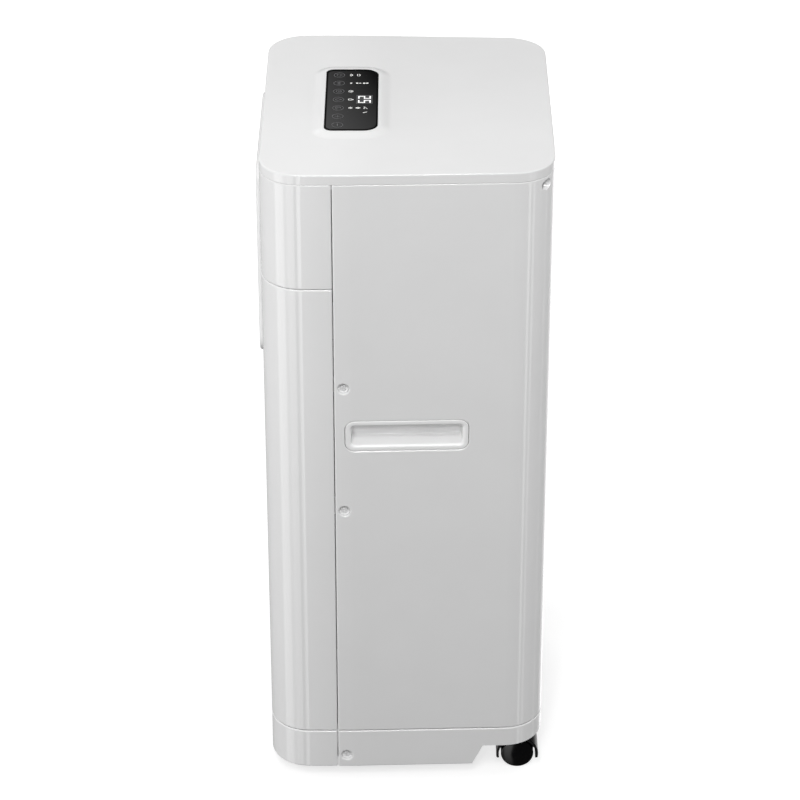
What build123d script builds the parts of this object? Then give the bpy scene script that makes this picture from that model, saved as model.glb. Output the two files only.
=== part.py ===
import math
import os

from build123d import *

# All sizes in millimetres. Front is -Y, the right side is +X, the floor is Z = 0.

# Casing
BODY_WIDTH = 330.0
BODY_DEPTH = 280.0
BODY_HEIGHT = 695.0
FLOOR_GAP = 16.0
CORNER_RADIUS = 40.0
WALL = 3.0
SEAM_GAP = 0.6
BASE_GAP = 1.0
COVER_GAP = 0.25
EDGE_ROUND = 1.2
SEAM_ROUND = 1.6
FIT = 0.3
RUN_FIT = 0.06
FRONT_DEPTH = 69.0
SCREW_MARGIN = 17.0
DRAW_IN = 6.8
BASE_HEIGHT = 45.0
TOP_RIM = 10.0
TOP_ROUND = 1.5
UPPER_FRONT = 110.5
LIP_THICK = 2.0
LIP_HEIGHT = 6.0

# Base
BASE_FLOOR = 3.0
REAR_RISE = 23.0
REAR_CUT = 61.0
REAR_CUT_SLANT = 11.0

# Casters
WHEEL_RADIUS = 17.0
WHEEL_WIDTH = 11.5
WHEEL_EDGE = 1.6
WHEEL_CROWN = 1.2
HOOD_GAP = 2.3
HOOD_THICK = 2.6
HOOD_DROP = 4.5
HOOD_EDGE = 0.8
CASTER_WEB = 6.0
CASTER_TRAIL = 8.0
CASTER_CLEAR = 0.5
CASTER_BOSS = 3.0
AXLE_RADIUS = 3.0
STEM_RADIUS = 4.0
STEM_LENGTH = 20.0
SOCKET_WALL = 4.5
REAR_CASTER_INSET = 35.0
REAR_STEM_INSET = 32.5
FRONT_CASTER_INSET = 57.0
FRONT_STEM_INSET = 46.0

# Screws
SCREW_POCKET = 5.5
POCKET_DEPTH = 5.0
POCKET_FLOOR = 3.5
POCKET_WALL = 2.2
POCKET_EASE = 1.5
SCREW_HEAD = 2.9
SCREW_HEAD_HEIGHT = 2.0
SCREW_SHANK = 1.6
SCREW_LENGTH = 13.0
SCREW_BOSS = 2.5
SCREW_POST = 3.5
DRIVE_SLOT = 0.8
DRIVE_FLOOR = 0.9
SCREW_SEAM_OFFSET = 9.4
SIDE_SCREW_Z = (466.0, 327.0)
BASE_SCREW_RISE = 14.0
TONGUE_THICK = 3.0
TONGUE_HALF = 8.0
TONGUE_REACH = 20.0
REAR_SCREW_INSET = 20.7
REAR_SCREW_DROP = 8.7
REAR_BORE_FLOOR = 23.0

# Grip cups
GRIP_WIDTH = 120.5
GRIP_HEIGHT = 33.0
GRIP_CORNER = 9.0
GRIP_Z = 413.0
GRIP_RIM = 6.0
GRIP_DEPTH = 22.0
GRIP_WALL = 2.2
GRIP_GAP = 0.5
GRIP_SINK = 0.2
GRIP_EDGE = 0.8
GRIP_EASE = 0.7
GRIP_LIP_ROUND = 3.0
GRIP_FLOOR_ROUND = 2.0

# Top cover and controls
COVER_THICK = 3.0
PANEL_WIDTH = 145.5
PANEL_DEPTH = 52.0
PANEL_FRONT_INSET = 60.0
PANEL_FRONT_CORNER = 8.0
PANEL_REAR_CORNER = 14.0
FIELD_RAISE = 3.0
FIELD_RIM = 1.8
FIELD_SLOPE = 11.0
FIELD_STEPS = 6
GLASS_THICK = 3.0
GLASS_SINK = 0.4
GLASS_BEVEL = 1.6
GLASS_BEVEL_DROP = 0.4
WINDOW_LEDGE = 5.0
BOARD_DROP = 8.0
BOARD_THICK = 1.6
BOARD_MARGIN = 4.0
BOARD_POST = 3.0
READOUT_WIDTH = 26.0
READOUT_DEPTH = 16.0
READOUT_Y = 12.4

# Outlet and louvre
OUTLET_WIDTH = 196.0
OUTLET_HEIGHT = 202.0
OUTLET_DROP = 118.0
OUTLET_CORNER = 18.0
OUTLET_PROUD = 4.8
OUTLET_EDGE = 3.0
OUTLET_RIM = 16.0
NECK_WALL = 2.5
NECK_DEPTH = 45.0
MOUTH_CORNER = 6.0
BLADE_COUNT = 5
BLADE_CHORD = 29.0
BLADE_THICK = 2.6
BLADE_INSET = 18.5
BLADE_END_GAP = 1.0
PIVOT_RADIUS = 2.0
PIN_ROOT = 3.0
CRANK_ARM = 10.0
CRANK_RADIUS = 1.4
BAR_THICK = 2.2
BAR_HALF = 3.4
BAR_SLOT = 4.2
SWING_RADIUS = 12.0
SWING_LENGTH = 16.0
SWING_BORE = 6.0
SWING_EAR = 1.5
GUARD_DEPTH = 6.0
GUARD_RIB = 2.0
GUARD_COUNT = 8

# Fan
FAN_RADIUS = 77.0
FAN_TIP_GAP = 3.0
FAN_BLADES = 5
FAN_BLADE_THICK = 2.2
FAN_ROOT_CHORD = 36.0
FAN_TIP_CHORD = 54.0
FAN_ROOT_PITCH = 42.0
FAN_TIP_PITCH = 24.0
HUB_RADIUS = 24.0
HUB_LENGTH = 26.0
HUB_LEAD = 4.0
HUB_ROUND = 6.0
HUB_NOSE = 3.0
BLADE_ROOT = 2.0
RING_WALL = 2.5
RING_DEPTH = 34.0
BULKHEAD_THICK = 3.0
BULKHEAD_SIDE = 22.0
BULKHEAD_TOP_GAP = 10.0
SPIDER_THICK = 4.0
SPIDER_ARM = 9.0
MOTOR_RADIUS = 34.0
MOTOR_LENGTH = 44.0
MOTOR_ROUND = 5.0
SHAFT_RADIUS = 4.0
SHAFT_IN_MOTOR = 36.0
SHAFT_HOLE_GAP = 4.0

# Deck, coils and drain
DECK_Z = 340.0
DECK_THICK = 3.0
LEDGE_WIDTH = 12.0
LEDGE_THICK = 4.0
LEDGE_LENGTH = 120.0
COIL_SIDE_GAP = 2.8
COIL_TOP_GAP = 60.0
COIL_DEPTH = 24.0
COIL_GAP = 14.0
COIL_REAR_INSET = 54.0
END_PLATE = 1.5
FIN_PITCH = 6.0
FIN_THICK = 1.2
FIN_SLOT = 8.0
TUBE_RADIUS = 4.0
TUBE_ROWS = 10
TRAY_MARGIN = 6.0
TRAY_HEIGHT = 12.0
TRAY_WALL = 2.0
NOZZLE_RADIUS = 6.0
NOZZLE_WALL = 1.5
NOZZLE_DROP = 12.0
DRIP_DROP = 20.0
DRIP_INSET = 56.0
DRAIN_SIDE = 75.0
DRAIN_DROP = 24.0
DRAIN_NOZZLE_INSET = 52.0
HOSE_WALL = 2.2
HOSE_BEND = 12.0
CUP_RADIUS = 20.0
CUP_DEPTH = 22.0
CUP_WALL = 2.0
CUP_FLANGE = 22.5
CUP_FLANGE_THICK = 1.5
SPOUT_RADIUS = 7.0
SPOUT_BORE = 4.5
SPOUT_LENGTH = 17.0
PLUG_LENGTH = 10.0
PLUG_HEAD = 6.4
PLUG_HEAD_THICK = 2.5
PLUG_EDGE = 0.8
GLAND_SIDE = 75.0
GLAND_RADIUS = 10.0
GLAND_FLANGE = 14.0
GLAND_FLANGE_THICK = 4.0
GLAND_LENGTH = 10.0
GLAND_BORE = 4.5

# Compressor and pipes
COMP_X = -48.0
COMP_INSET = 74.0
COMP_RADIUS = 52.0
COMP_HEIGHT = 196.0
COMP_DOME = 22.0
TERMINAL_HALF = 14.0
TERMINAL_FRONT = 12.0
TERMINAL_BACK = 36.0
TERMINAL_RISE = 8.0
TERMINAL_ROUND = 4.0
FOOT_COUNT = 3
FOOT_REACH = 62.0
FOOT_PAD = 11.0
FOOT_THICK = 2.5
FOOT_WIDTH = 18.0
GROMMET_RADIUS = 9.0
GROMMET_HEIGHT = 10.0
STUD_RADIUS = 3.0
STUD_RISE = 8.0
NUT_RADIUS = 5.8
NUT_HEIGHT = 5.0
ACCU_RADIUS = 20.0
ACCU_LENGTH = 120.0
ACCU_BASE = 70.0
ACCU_GAP = 5.0
ACCU_ELBOW = 28.0
STRAP_HALF = 8.0
STRAP_LAP = 4.0
PIPE_RADIUS = 4.0
PIPE_BEND = 6.0
ELBOW_BEND = 14.0
PIPE_SIDE = 12.0
DISCHARGE_DROP = 40.0
SUCTION_DROP = 55.0
PIPE_HOLE_GAP = 2.0
CAP_RADIUS = 2.0
CAP_REACH = 17.0
CAP_BEND = 6.0

# Bay wall and power box
BAY_WALL_INSET = 141.0
BAY_WALL_THICK = 2.0
BAY_WALL_SIDE = 18.0
BOX_GAP = 11.0
BOX_WIDTH = 80.0
BOX_DEPTH = 54.0
BOX_Z = 80.0
BOX_HEIGHT = 120.0
BOX_WALL = 2.0
BOX_LID = 2.5
BOX_CORNER = 4.0

# Water tank
TANK_SIDE = 50.0
TANK_FRONT_GAP = 4.0
TANK_RAIL_RISE = 1.0
TANK_HEIGHT = 224.0
TANK_WALL = 2.5
TANK_CORNER = 14.0
TANK_FACE = 3.5
TANK_FACE_LAP = 1.2
TANK_FACE_RISE = 5.0
TANK_GAP = 0.8
RAIL_WIDTH = 10.0
RAIL_INSET = 35.0
PULL_WIDTH = 100.0
PULL_HEIGHT = 30.0
PULL_DEPTH = 18.0
PULL_DROP = 26.0
PULL_ROUND = 6.0
BAIL_ARM = 45.0
BAIL_BAR = 8.0
BAIL_STRIP = 4.0
BAIL_SIDE_GAP = 1.0
BAIL_FRONT_GAP = 13.0
BAIL_DROP = 8.0
BAIL_PIN = 3.0
FLOAT_INSET = 33.0
FLOAT_WIDTH = 30.0
FLOAT_LENGTH = 42.0
FLOAT_HEIGHT = 26.0
FLOAT_ARM = 22.0
FLOAT_DROP = 56.0
FLOAT_PIN = 2.0
FLOAT_EAR = 3.0
FLOAT_EAR_GAP = 1.0
FLOAT_PIVOT_INSET = 8.0
FLOAT_EAR_HALF = 5.0
FLOAT_ARM_HALF = 2.5
FLOAT_ROUND = 3.0

# Intake
INTAKE_SIDE = 53.0
INTAKE_TRIM = 4.0
INTAKE_RISE = 15.0
INTAKE_CORNER = 10.0
INTAKE_EDGE = 1.2
INTAKE_GAP = 0.5
INTAKE_DEPTH = 10.0
INTAKE_BORDER = 8.0
SLAT_COUNT = 24
SLAT_THICK = 3.0
SLAT_COLUMNS = 3
COLUMN_BAR = 4.0
FILTER_DEPTH = 6.0
FILTER_BORDER = 6.0
FILTER_RIBS = 3
FILTER_RIB = 2.5
FILTER_SHEET = 1.0
FILTER_INSET = 2.0
FILTER_NET_LAP = 2.0

# Places that follow from the sizes above
FRONT_Y = -BODY_DEPTH / 2
REAR_Y = BODY_DEPTH / 2
HALF_WIDTH = BODY_WIDTH / 2
SEAM_Y = FRONT_Y + FRONT_DEPTH
BEND_Y = SEAM_Y + SCREW_MARGIN
DRAW_SLOPE = DRAW_IN / (REAR_Y - BEND_Y)
BASE_TOP = FLOOR_GAP + BASE_HEIGHT
COVER_SEAM = BODY_HEIGHT - TOP_RIM
FLOOR_UNDER = FLOOR_GAP + REAR_RISE
FLOOR_TOP = FLOOR_UNDER + BASE_FLOOR
DECK_TOP = DECK_Z + DECK_THICK
FRONT_SPLIT = COVER_SEAM - UPPER_FRONT
OUTLET_Z = COVER_SEAM - OUTLET_DROP
COIL_BASE = DECK_TOP + TRAY_WALL
COIL_HEIGHT = COVER_SEAM - COIL_TOP_GAP - COIL_BASE
TUBE_PITCH = COIL_HEIGHT / TUBE_ROWS
INTAKE_WIDTH = BODY_WIDTH - 2 * INTAKE_SIDE
INTAKE_HEIGHT = COIL_HEIGHT - INTAKE_TRIM
INTAKE_Z = DECK_TOP + INTAKE_RISE + INTAKE_HEIGHT / 2
BAY_WALL_Y = FRONT_Y + BAY_WALL_INSET
TANK_WIDTH = BODY_WIDTH - 2 * TANK_SIDE
DRAIN_X = HALF_WIDTH - DRAIN_SIDE
DRAIN_Z = DECK_Z - DRAIN_DROP
GLAND_X = GLAND_SIDE - HALF_WIDTH
REAR_SCREW_X = HALF_WIDTH - REAR_SCREW_INSET
SCREW_Y = SEAM_Y + SCREW_SEAM_OFFSET
REAR_SCREW_Z = COVER_SEAM - REAR_SCREW_DROP
WIDE = BODY_WIDTH
TALL = BODY_HEIGHT


def outline(inset=0.0):
    """Plan of the casing: round corners, sides drawn in behind the screw margin."""
    rear_half = HALF_WIDTH - DRAW_IN
    points = [
        (HALF_WIDTH, FRONT_Y),
        (HALF_WIDTH, BEND_Y),
        (rear_half, REAR_Y),
        (-rear_half, REAR_Y),
        (-HALF_WIDTH, BEND_Y),
        (-HALF_WIDTH, FRONT_Y),
    ]
    face = make_face(Polyline(*points, close=True))
    corners = [v for v in face.vertices() if abs(abs(v.Y) - REAR_Y) < 0.01]
    face = fillet(corners, CORNER_RADIUS)
    return offset(face, -inset) if inset else face


def slab(z0, z1, inset=0.0):
    return extrude(Pos(0, 0, z0) * outline(inset), z1 - z0, dir=(0, 0, 1))


def block(x0, x1, y0, y1, z0, z1):
    middle = Pos((x0 + x1) / 2, (y0 + y1) / 2, (z0 + z1) / 2)
    return middle * Box(abs(x1 - x0), abs(y1 - y0), abs(z1 - z0))


def rod(radius, start, end):
    axis = Vector(*end) - Vector(*start)
    return extrude(Plane(origin=start, z_dir=axis) * Circle(radius), axis.length)


def rod_x(radius, x0, x1, y, z):
    return rod(radius, (x0, y, z), (x1, y, z))


def rod_y(radius, x, y0, y1, z):
    return rod(radius, (x, y0, z), (x, y1, z))


def rod_z(radius, x, y, z0, z1):
    return rod(radius, (x, y, z0), (x, y, z1))


def tube(radius, points, bend):
    """Round bar along straight runs joined by bends."""
    path = FilletPolyline(*points, radius=bend)
    start = Plane(origin=path @ 0, z_dir=path % 0)
    return sweep(start * Circle(radius), path=path)


def front_rect(width, height, corner, z, y0, y1):
    """Upright plate with round corners, from y0 to y1, centred on x = 0."""
    plane = Plane(origin=(0, y1, z), x_dir=(1, 0, 0), z_dir=(0, -1, 0))
    return extrude(plane * RectangleRounded(width, height, corner), y1 - y0)


def side_x(y):
    return HALF_WIDTH - max(0.0, y - BEND_Y) * DRAW_SLOPE


def both_sides(piece):
    return piece + mirror(piece, about=Plane.YZ)


def group(pieces):
    """Like pieces that share one name."""
    return Compound(children=[piece.solids()[0] for piece in pieces])


# Shells
def shell_block(z0, z1, y0, y1):
    """Solid length of the casing between two heights, edges eased at its seams."""
    body = slab(z0, z1) & block(-WIDE, WIDE, y0, y1, z0 - 1, z1 + 1)
    cut_y = y1 if y0 < FRONT_Y else y0
    uprights = [
        e for e in body.edges().filter_by(Axis.Z) if abs(e.center().Y - cut_y) < 0.01
    ]
    body = fillet(uprights, SEAM_ROUND)
    levels = body.edges().group_by(Axis.Z)
    return fillet(list(levels[0]) + list(levels[-1]), EDGE_ROUND)


def screw_tongue(z):
    """Ear of a front piece that reaches behind the rear piece to take a side screw."""
    outer = HALF_WIDTH - POCKET_DEPTH - POCKET_FLOOR - FIT
    inner = outer - TONGUE_THICK
    front = SEAM_Y - TONGUE_REACH
    low = z - TONGUE_HALF
    high = z + TONGUE_HALF
    web = block(inner, HALF_WIDTH - WALL / 2, front, front + TONGUE_THICK, low, high)
    ear = block(inner, outer, front, SCREW_Y + TONGUE_HALF, low, high)
    boss_end = HALF_WIDTH - POCKET_DEPTH - SCREW_LENGTH - FIT
    boss = rod_x(SCREW_SHANK + SCREW_BOSS, boss_end, outer, SCREW_Y, z)
    hole = rod_x(SCREW_SHANK + RUN_FIT, boss_end - 1, HALF_WIDTH, SCREW_Y, z)
    return web + ear + boss - hole


def screw_boss(z):
    """Cup behind the wall that carries a screw pocket."""
    inner = HALF_WIDTH - POCKET_DEPTH - POCKET_FLOOR
    return rod_x(SCREW_POCKET + POCKET_WALL, inner, HALF_WIDTH - WALL / 2, SCREW_Y, z)


def screw_pocket(z):
    """Sunk seat of a side screw, with the hole through its floor."""
    floor = HALF_WIDTH - POCKET_DEPTH
    hole = rod_x(SCREW_SHANK + FIT, floor - POCKET_FLOOR - 1, floor, SCREW_Y, z)
    return rod_x(SCREW_POCKET, floor, HALF_WIDTH + 1, SCREW_Y, z) + hole


def ease_pockets(body):
    """Rounds the mouths of the screw pockets in a side wall."""
    mouths = []
    for edge in body.edges().filter_by(GeomType.CIRCLE):
        at_wall = abs(abs(edge.center().X) - HALF_WIDTH) < 0.01
        if at_wall and abs(edge.radius - SCREW_POCKET) < 0.01:
            mouths.append(edge)
    return fillet(mouths, POCKET_EASE)


def outlet_hole():
    width = OUTLET_WIDTH - 2 * OUTLET_RIM + 2 * (NECK_WALL + FIT)
    height = OUTLET_HEIGHT - 2 * OUTLET_RIM + 2 * (NECK_WALL + FIT)
    corner = MOUTH_CORNER + NECK_WALL + FIT
    return front_rect(width, height, corner, OUTLET_Z, FRONT_Y - 1, FRONT_Y + CORNER_RADIUS)


def half_gap(z):
    """Half the width of the seam at a height: the one above the base is wider."""
    return BASE_GAP / 2 if z == BASE_TOP else SEAM_GAP / 2


def front_shell(z0, z1, screw_heights):
    low = z0 + half_gap(z0)
    high = z1 - half_gap(z1)
    body = shell_block(low, high, FRONT_Y - 1, SEAM_Y - SEAM_GAP / 2)
    body = body - slab(low - 1, high + 1, WALL)
    for z in screw_heights:
        body = body + both_sides(screw_tongue(z))
    return body


front_lower_shell = front_shell(BASE_TOP, FRONT_SPLIT, SIDE_SCREW_Z) - outlet_hole()
front_upper_shell = front_shell(FRONT_SPLIT, COVER_SEAM, ()) - outlet_hole()
BASE_SCREW_Z = FLOOR_GAP + BASE_SCREW_RISE
front_skirt = front_shell(FLOOR_GAP - SEAM_GAP / 2, BASE_TOP, (BASE_SCREW_Z,))


# Grip cups, drawn on the right side and mirrored
SIDE = Plane(
    origin=(side_x(0) - GRIP_SINK, 0, GRIP_Z), x_dir=(-DRAW_SLOPE, 1, 0), z_dir=(1, DRAW_SLOPE, 0)
)


def grip_rect(grow):
    return RectangleRounded(GRIP_WIDTH + 2 * grow, GRIP_HEIGHT + 2 * grow, GRIP_CORNER + grow)


def grip_cup():
    """Hand hold: a flush rim and a scoop with a rounded floor."""
    rim = extrude(grip_rect(0), -WALL)
    rim = fillet(rim.faces().sort_by(Axis.Z)[-1].edges(), GRIP_EDGE)
    cup = extrude(grip_rect(GRIP_WALL - GRIP_RIM), -(GRIP_DEPTH + GRIP_WALL))
    hollow = extrude(grip_rect(-GRIP_RIM), -GRIP_DEPTH)
    floor = hollow.faces().sort_by(Axis.Z)[0]
    hollow = fillet(floor.edges(), GRIP_FLOOR_ROUND)
    body = rim + (cup - extrude(grip_rect(0), -WALL / 2)) - hollow
    rim_face = body.faces().filter_by(Axis.Z).sort_by(Axis.Z)[-1]
    mouth = rim_face.inner_wires()[0].edges()
    return SIDE * fillet(mouth, GRIP_LIP_ROUND)


grip_cup_right = grip_cup()
grip_cup_left = mirror(grip_cup_right, about=Plane.YZ)


def grip_hole():
    """Hole in the wall for a grip cup, its outer edge bevelled."""
    hole = extrude(SIDE * grip_rect(GRIP_GAP), -CORNER_RADIUS / 2)
    bevel = SIDE * Pos(0, 0, GRIP_SINK - GRIP_EASE) * grip_rect(GRIP_GAP)
    return hole + extrude(bevel, 2 * GRIP_EASE, taper=-45)


# Rear shell
def rear_bore():
    """Bore in a rear corner for a screw into the top cover."""
    floor = REAR_Y - REAR_BORE_FLOOR
    bore = rod_y(SCREW_POCKET, REAR_SCREW_X, floor, REAR_Y + 1, REAR_SCREW_Z)
    hole_end = floor - POCKET_FLOOR - 1
    return bore + rod_y(SCREW_SHANK + FIT, REAR_SCREW_X, hole_end, floor, REAR_SCREW_Z)


def rear_boss():
    """Cup behind the corner that carries a rear bore."""
    inner = REAR_Y - REAR_BORE_FLOOR - POCKET_FLOOR
    boss = rod_y(SCREW_POCKET + POCKET_WALL, REAR_SCREW_X, inner, REAR_Y, REAR_SCREW_Z)
    return boss & slab(FLOOR_TOP, COVER_SEAM - SEAM_GAP / 2 - EDGE_ROUND, WALL / 2)


TANK_BASE = BASE_TOP + TANK_RAIL_RISE
TANK_TOP = TANK_BASE + TANK_HEIGHT
FACE_TOP = TANK_TOP + TANK_FACE_RISE
TANK_DOOR = TANK_WIDTH / 2 + TANK_FACE_LAP + TANK_GAP


def make_rear_shell():
    low = BASE_TOP + half_gap(BASE_TOP)
    high = COVER_SEAM - half_gap(COVER_SEAM)
    body = shell_block(low, high, SEAM_Y + SEAM_GAP / 2, REAR_Y + 1)
    body = body - slab(low - 1, high + 1, WALL)
    ledge_y = LEDGE_LENGTH / 2
    ledge = slab(DECK_Z - LEDGE_THICK, DECK_Z, WALL / 2)
    ledge = ledge & block(side_x(0) - LEDGE_WIDTH, WIDE, -ledge_y, ledge_y, 0, TALL)
    extra = ledge + rear_boss()
    for z in SIDE_SCREW_Z:
        extra = extra + screw_boss(z)
    cuts = rear_bore() + grip_hole()
    for z in SIDE_SCREW_Z:
        cuts = cuts + screw_pocket(z)
    body = ease_pockets(body + both_sides(extra) - both_sides(cuts))
    door = block(-TANK_DOOR, TANK_DOOR, REAR_Y - 2 * WALL, REAR_Y + 1, 0, FACE_TOP + TANK_GAP)
    window = front_rect(
        INTAKE_WIDTH, INTAKE_HEIGHT, INTAKE_CORNER, INTAKE_Z, REAR_Y - 2 * WALL, REAR_Y + 1
    )
    drain = rod_y(CUP_RADIUS + FIT, DRAIN_X, REAR_Y - 2 * WALL, REAR_Y + 1, DRAIN_Z)
    seat = REAR_Y - CUP_FLANGE_THICK
    drain = drain + rod_y(CUP_FLANGE + FIT, DRAIN_X, seat, REAR_Y + 1, DRAIN_Z)
    gland = rod_y(GLAND_RADIUS + FIT, GLAND_X, REAR_Y - 2 * WALL, REAR_Y + 1, DRAIN_Z)
    return body - door - window - drain - gland


rear_shell = make_rear_shell()


# Base
FRONT_CASTER_X = HALF_WIDTH - FRONT_CASTER_INSET
REAR_CASTER_X = HALF_WIDTH - REAR_CASTER_INSET
CASTER_SPOTS = {
    "front_left": (-FRONT_CASTER_X, FRONT_Y + FRONT_STEM_INSET),
    "front_right": (FRONT_CASTER_X, FRONT_Y + FRONT_STEM_INSET),
    "rear_left": (-REAR_CASTER_X, REAR_Y - REAR_STEM_INSET),
    "rear_right": (REAR_CASTER_X, REAR_Y - REAR_STEM_INSET),
}
RAIL_X = TANK_WIDTH / 2 - RAIL_INSET


def lip_ring(z0, z1):
    """Low wall that stands just inside the shells and keeps them in line."""
    outer = slab(z0, z1, WALL + FIT)
    return outer - slab(z0 - 1, z1 + 1, WALL + FIT + LIP_THICK)


def make_base_tray():
    high = BASE_TOP - half_gap(BASE_TOP)
    skirt = shell_block(FLOOR_GAP, high, SEAM_Y + SEAM_GAP / 2, REAR_Y + 1)
    skirt = skirt - slab(FLOOR_GAP - 1, high + 1, WALL)
    cut_y = REAR_Y - REAR_CUT
    profile = Polyline(
        (cut_y - REAR_CUT_SLANT, FLOOR_GAP),
        (cut_y, FLOOR_UNDER),
        (REAR_Y + WALL, FLOOR_UNDER),
        (REAR_Y + WALL, 0),
        (cut_y - REAR_CUT_SLANT, 0),
        close=True,
    )
    notch = extrude(Plane.YZ * make_face(profile), WIDE, both=True)
    skirt = skirt + both_sides(screw_boss(BASE_SCREW_Z)) - both_sides(screw_pocket(BASE_SCREW_Z))
    skirt = ease_pockets(skirt)
    floor = slab(FLOOR_UNDER, FLOOR_TOP, WALL + FIT)
    floor = floor + (slab(FLOOR_UNDER, FLOOR_TOP, WALL / 2) & block(
        -WIDE, WIDE, SEAM_Y + WALL, REAR_Y, FLOOR_UNDER, FLOOR_TOP
    ))
    body = skirt - notch + floor
    lip = lip_ring(FLOOR_TOP - BASE_FLOOR / 2, BASE_TOP + LIP_HEIGHT)
    door = TANK_DOOR + WALL
    body = body + (lip - block(-door, door, 0, REAR_Y + 1, high, TALL))
    for side in (-1, 1):
        x = side * RAIL_X
        body = body + block(
            x - RAIL_WIDTH / 2, x + RAIL_WIDTH / 2, BAY_WALL_Y + BAY_WALL_THICK + TANK_FRONT_GAP,
            REAR_Y - WALL, FLOOR_TOP - BASE_FLOOR / 2, TANK_BASE
        )
    for x, y in CASTER_SPOTS.values():
        end = FLOOR_UNDER + STEM_LENGTH + FIT
        body = body + rod_z(STEM_RADIUS + SOCKET_WALL, x, y, FLOOR_UNDER + 1, end + SOCKET_WALL)
        body = body - rod_z(STEM_RADIUS + RUN_FIT, x, y, FLOOR_UNDER - 1, end)
    return body


base_tray = make_base_tray()


# Casters: wheel axis along X, hood arch over the wheels, stem ahead of the axle
CASTER_WIDTH = CASTER_WEB + 2 * (CASTER_CLEAR + WHEEL_WIDTH)
HOOD_INNER = WHEEL_RADIUS + HOOD_GAP
HOOD_OUTER = HOOD_INNER + HOOD_THICK
HOOD_TOP = FLOOR_UNDER - CASTER_CLEAR - FIT


def caster_hood(x, y):
    """Arched hood with the web that holds the axle and the stem that turns in the base."""
    axle_y = y + CASTER_TRAIL
    axle_z = WHEEL_RADIUS
    half = CASTER_WIDTH / 2
    web_half = CASTER_WEB / 2
    space = rod_x(HOOD_INNER, x - half - 1, x + half + 1, axle_y, axle_z)
    arch = rod_x(HOOD_OUTER, x - half, x + half, axle_y, axle_z)
    arch = fillet(arch.edges().filter_by(GeomType.CIRCLE), HOOD_EDGE) - space
    web = rod_x(HOOD_INNER + HOOD_THICK / 2, x - web_half, x + web_half, axle_y, axle_z)
    front = axle_y - HOOD_OUTER
    back = axle_y + HOOD_OUTER
    arch = arch & block(x - half, x + half, front, back, axle_z - HOOD_DROP, HOOD_TOP)
    web = web & block(x - half, x + half, front, back, axle_z, HOOD_TOP)
    boss = rod_x(AXLE_RADIUS + CASTER_BOSS, x - web_half, x + web_half, axle_y, axle_z)
    pad = rod_z(STEM_RADIUS + CASTER_BOSS, x, y, axle_z, FLOOR_UNDER - FIT) - space
    stem = rod_z(STEM_RADIUS, x, y, HOOD_TOP, FLOOR_UNDER + STEM_LENGTH)
    hole = rod_x(AXLE_RADIUS + RUN_FIT, x - half, x + half, axle_y, axle_z)
    return arch + web + boss + pad + stem - hole


def caster_wheels(x, y):
    """Two wheels with closed, slightly crowned faces on one axle pin."""
    inner = CASTER_WEB / 2 + CASTER_CLEAR
    outer = inner + WHEEL_WIDTH
    rim = outer - WHEEL_CROWN
    sides = Polyline(
        (WHEEL_RADIUS, rim), (WHEEL_RADIUS, inner), (0, inner), (0, outer), (AXLE_RADIUS, outer)
    )
    crown = TangentArc((AXLE_RADIUS, outer), (WHEEL_RADIUS, rim), tangent=(1, 0))
    wheel = revolve(make_face(sides + crown), axis=Axis.Y)
    rims = [e for e in wheel.edges().filter_by(GeomType.CIRCLE) if abs(e.radius - WHEEL_RADIUS) < 0.01]
    wheel = fillet(ShapeList(rims).sort_by(Axis.Y)[-1], WHEEL_EDGE)
    middle = Pos(x, y + CASTER_TRAIL, WHEEL_RADIUS)
    axle = rod_x(AXLE_RADIUS, -inner, inner, 0, 0)
    return middle * (Rot(0, 0, -90) * wheel + Rot(0, 0, 90) * wheel + axle)


# Top cover and controls
PANEL_Y = FRONT_Y + PANEL_FRONT_INSET + PANEL_DEPTH / 2
FIELD_TOP = BODY_HEIGHT + FIELD_RAISE
GLASS_BASE = FIELD_TOP - GLASS_SINK - GLASS_THICK
COVER_UNDER = BODY_HEIGHT - COVER_THICK
BOARD_TOP = COVER_UNDER - BOARD_DROP


def panel_face(grow, z):
    """Outline of the control panel: small corners at the front, wide ones at the rear."""
    half_x = PANEL_WIDTH / 2 + grow
    half_y = PANEL_DEPTH / 2 + grow
    rect = Pos(0, PANEL_Y, z) * Rectangle(2 * half_x, 2 * half_y)
    rect = fillet(rect.vertices().sort_by(Axis.Y)[:2], PANEL_FRONT_CORNER + grow)
    return fillet(rect.vertices().sort_by(Axis.Y)[-2:], PANEL_REAR_CORNER + grow)


def raised_field():
    """Soft mound round the panel, level at its foot and at its crown."""
    sections = []
    for i in range(FIELD_STEPS + 1):
        t = i / FIELD_STEPS
        rise = FIELD_RAISE * t * t * (3 - 2 * t)
        sections.append(panel_face(FIELD_RIM + FIELD_SLOPE * (1 - t), BODY_HEIGHT + rise))
    mound = loft(sections[:2], ruled=True)
    for low, high in zip(sections[1:-1], sections[2:]):
        mound = mound + loft([low, high], ruled=True)
    return mound


def board_posts():
    half_x = PANEL_WIDTH / 2 - WINDOW_LEDGE - BOARD_MARGIN
    half_y = PANEL_DEPTH / 2 - BOARD_POST
    return [(sx * half_x, PANEL_Y + sy * half_y) for sx in (-1, 1) for sy in (-1, 1)]


def rear_post():
    """Post under the cover that takes a rear screw."""
    x = REAR_SCREW_X
    y1 = REAR_Y - REAR_BORE_FLOOR - POCKET_FLOOR - FIT
    y0 = y1 - SCREW_LENGTH
    half = SCREW_SHANK + SCREW_POST
    post = block(x - half, x + half, y0, y1, REAR_SCREW_Z - half, COVER_UNDER + 1)
    return post - rod_y(SCREW_SHANK + RUN_FIT, x, y0 - 1, y1 + 1, REAR_SCREW_Z)


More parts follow.
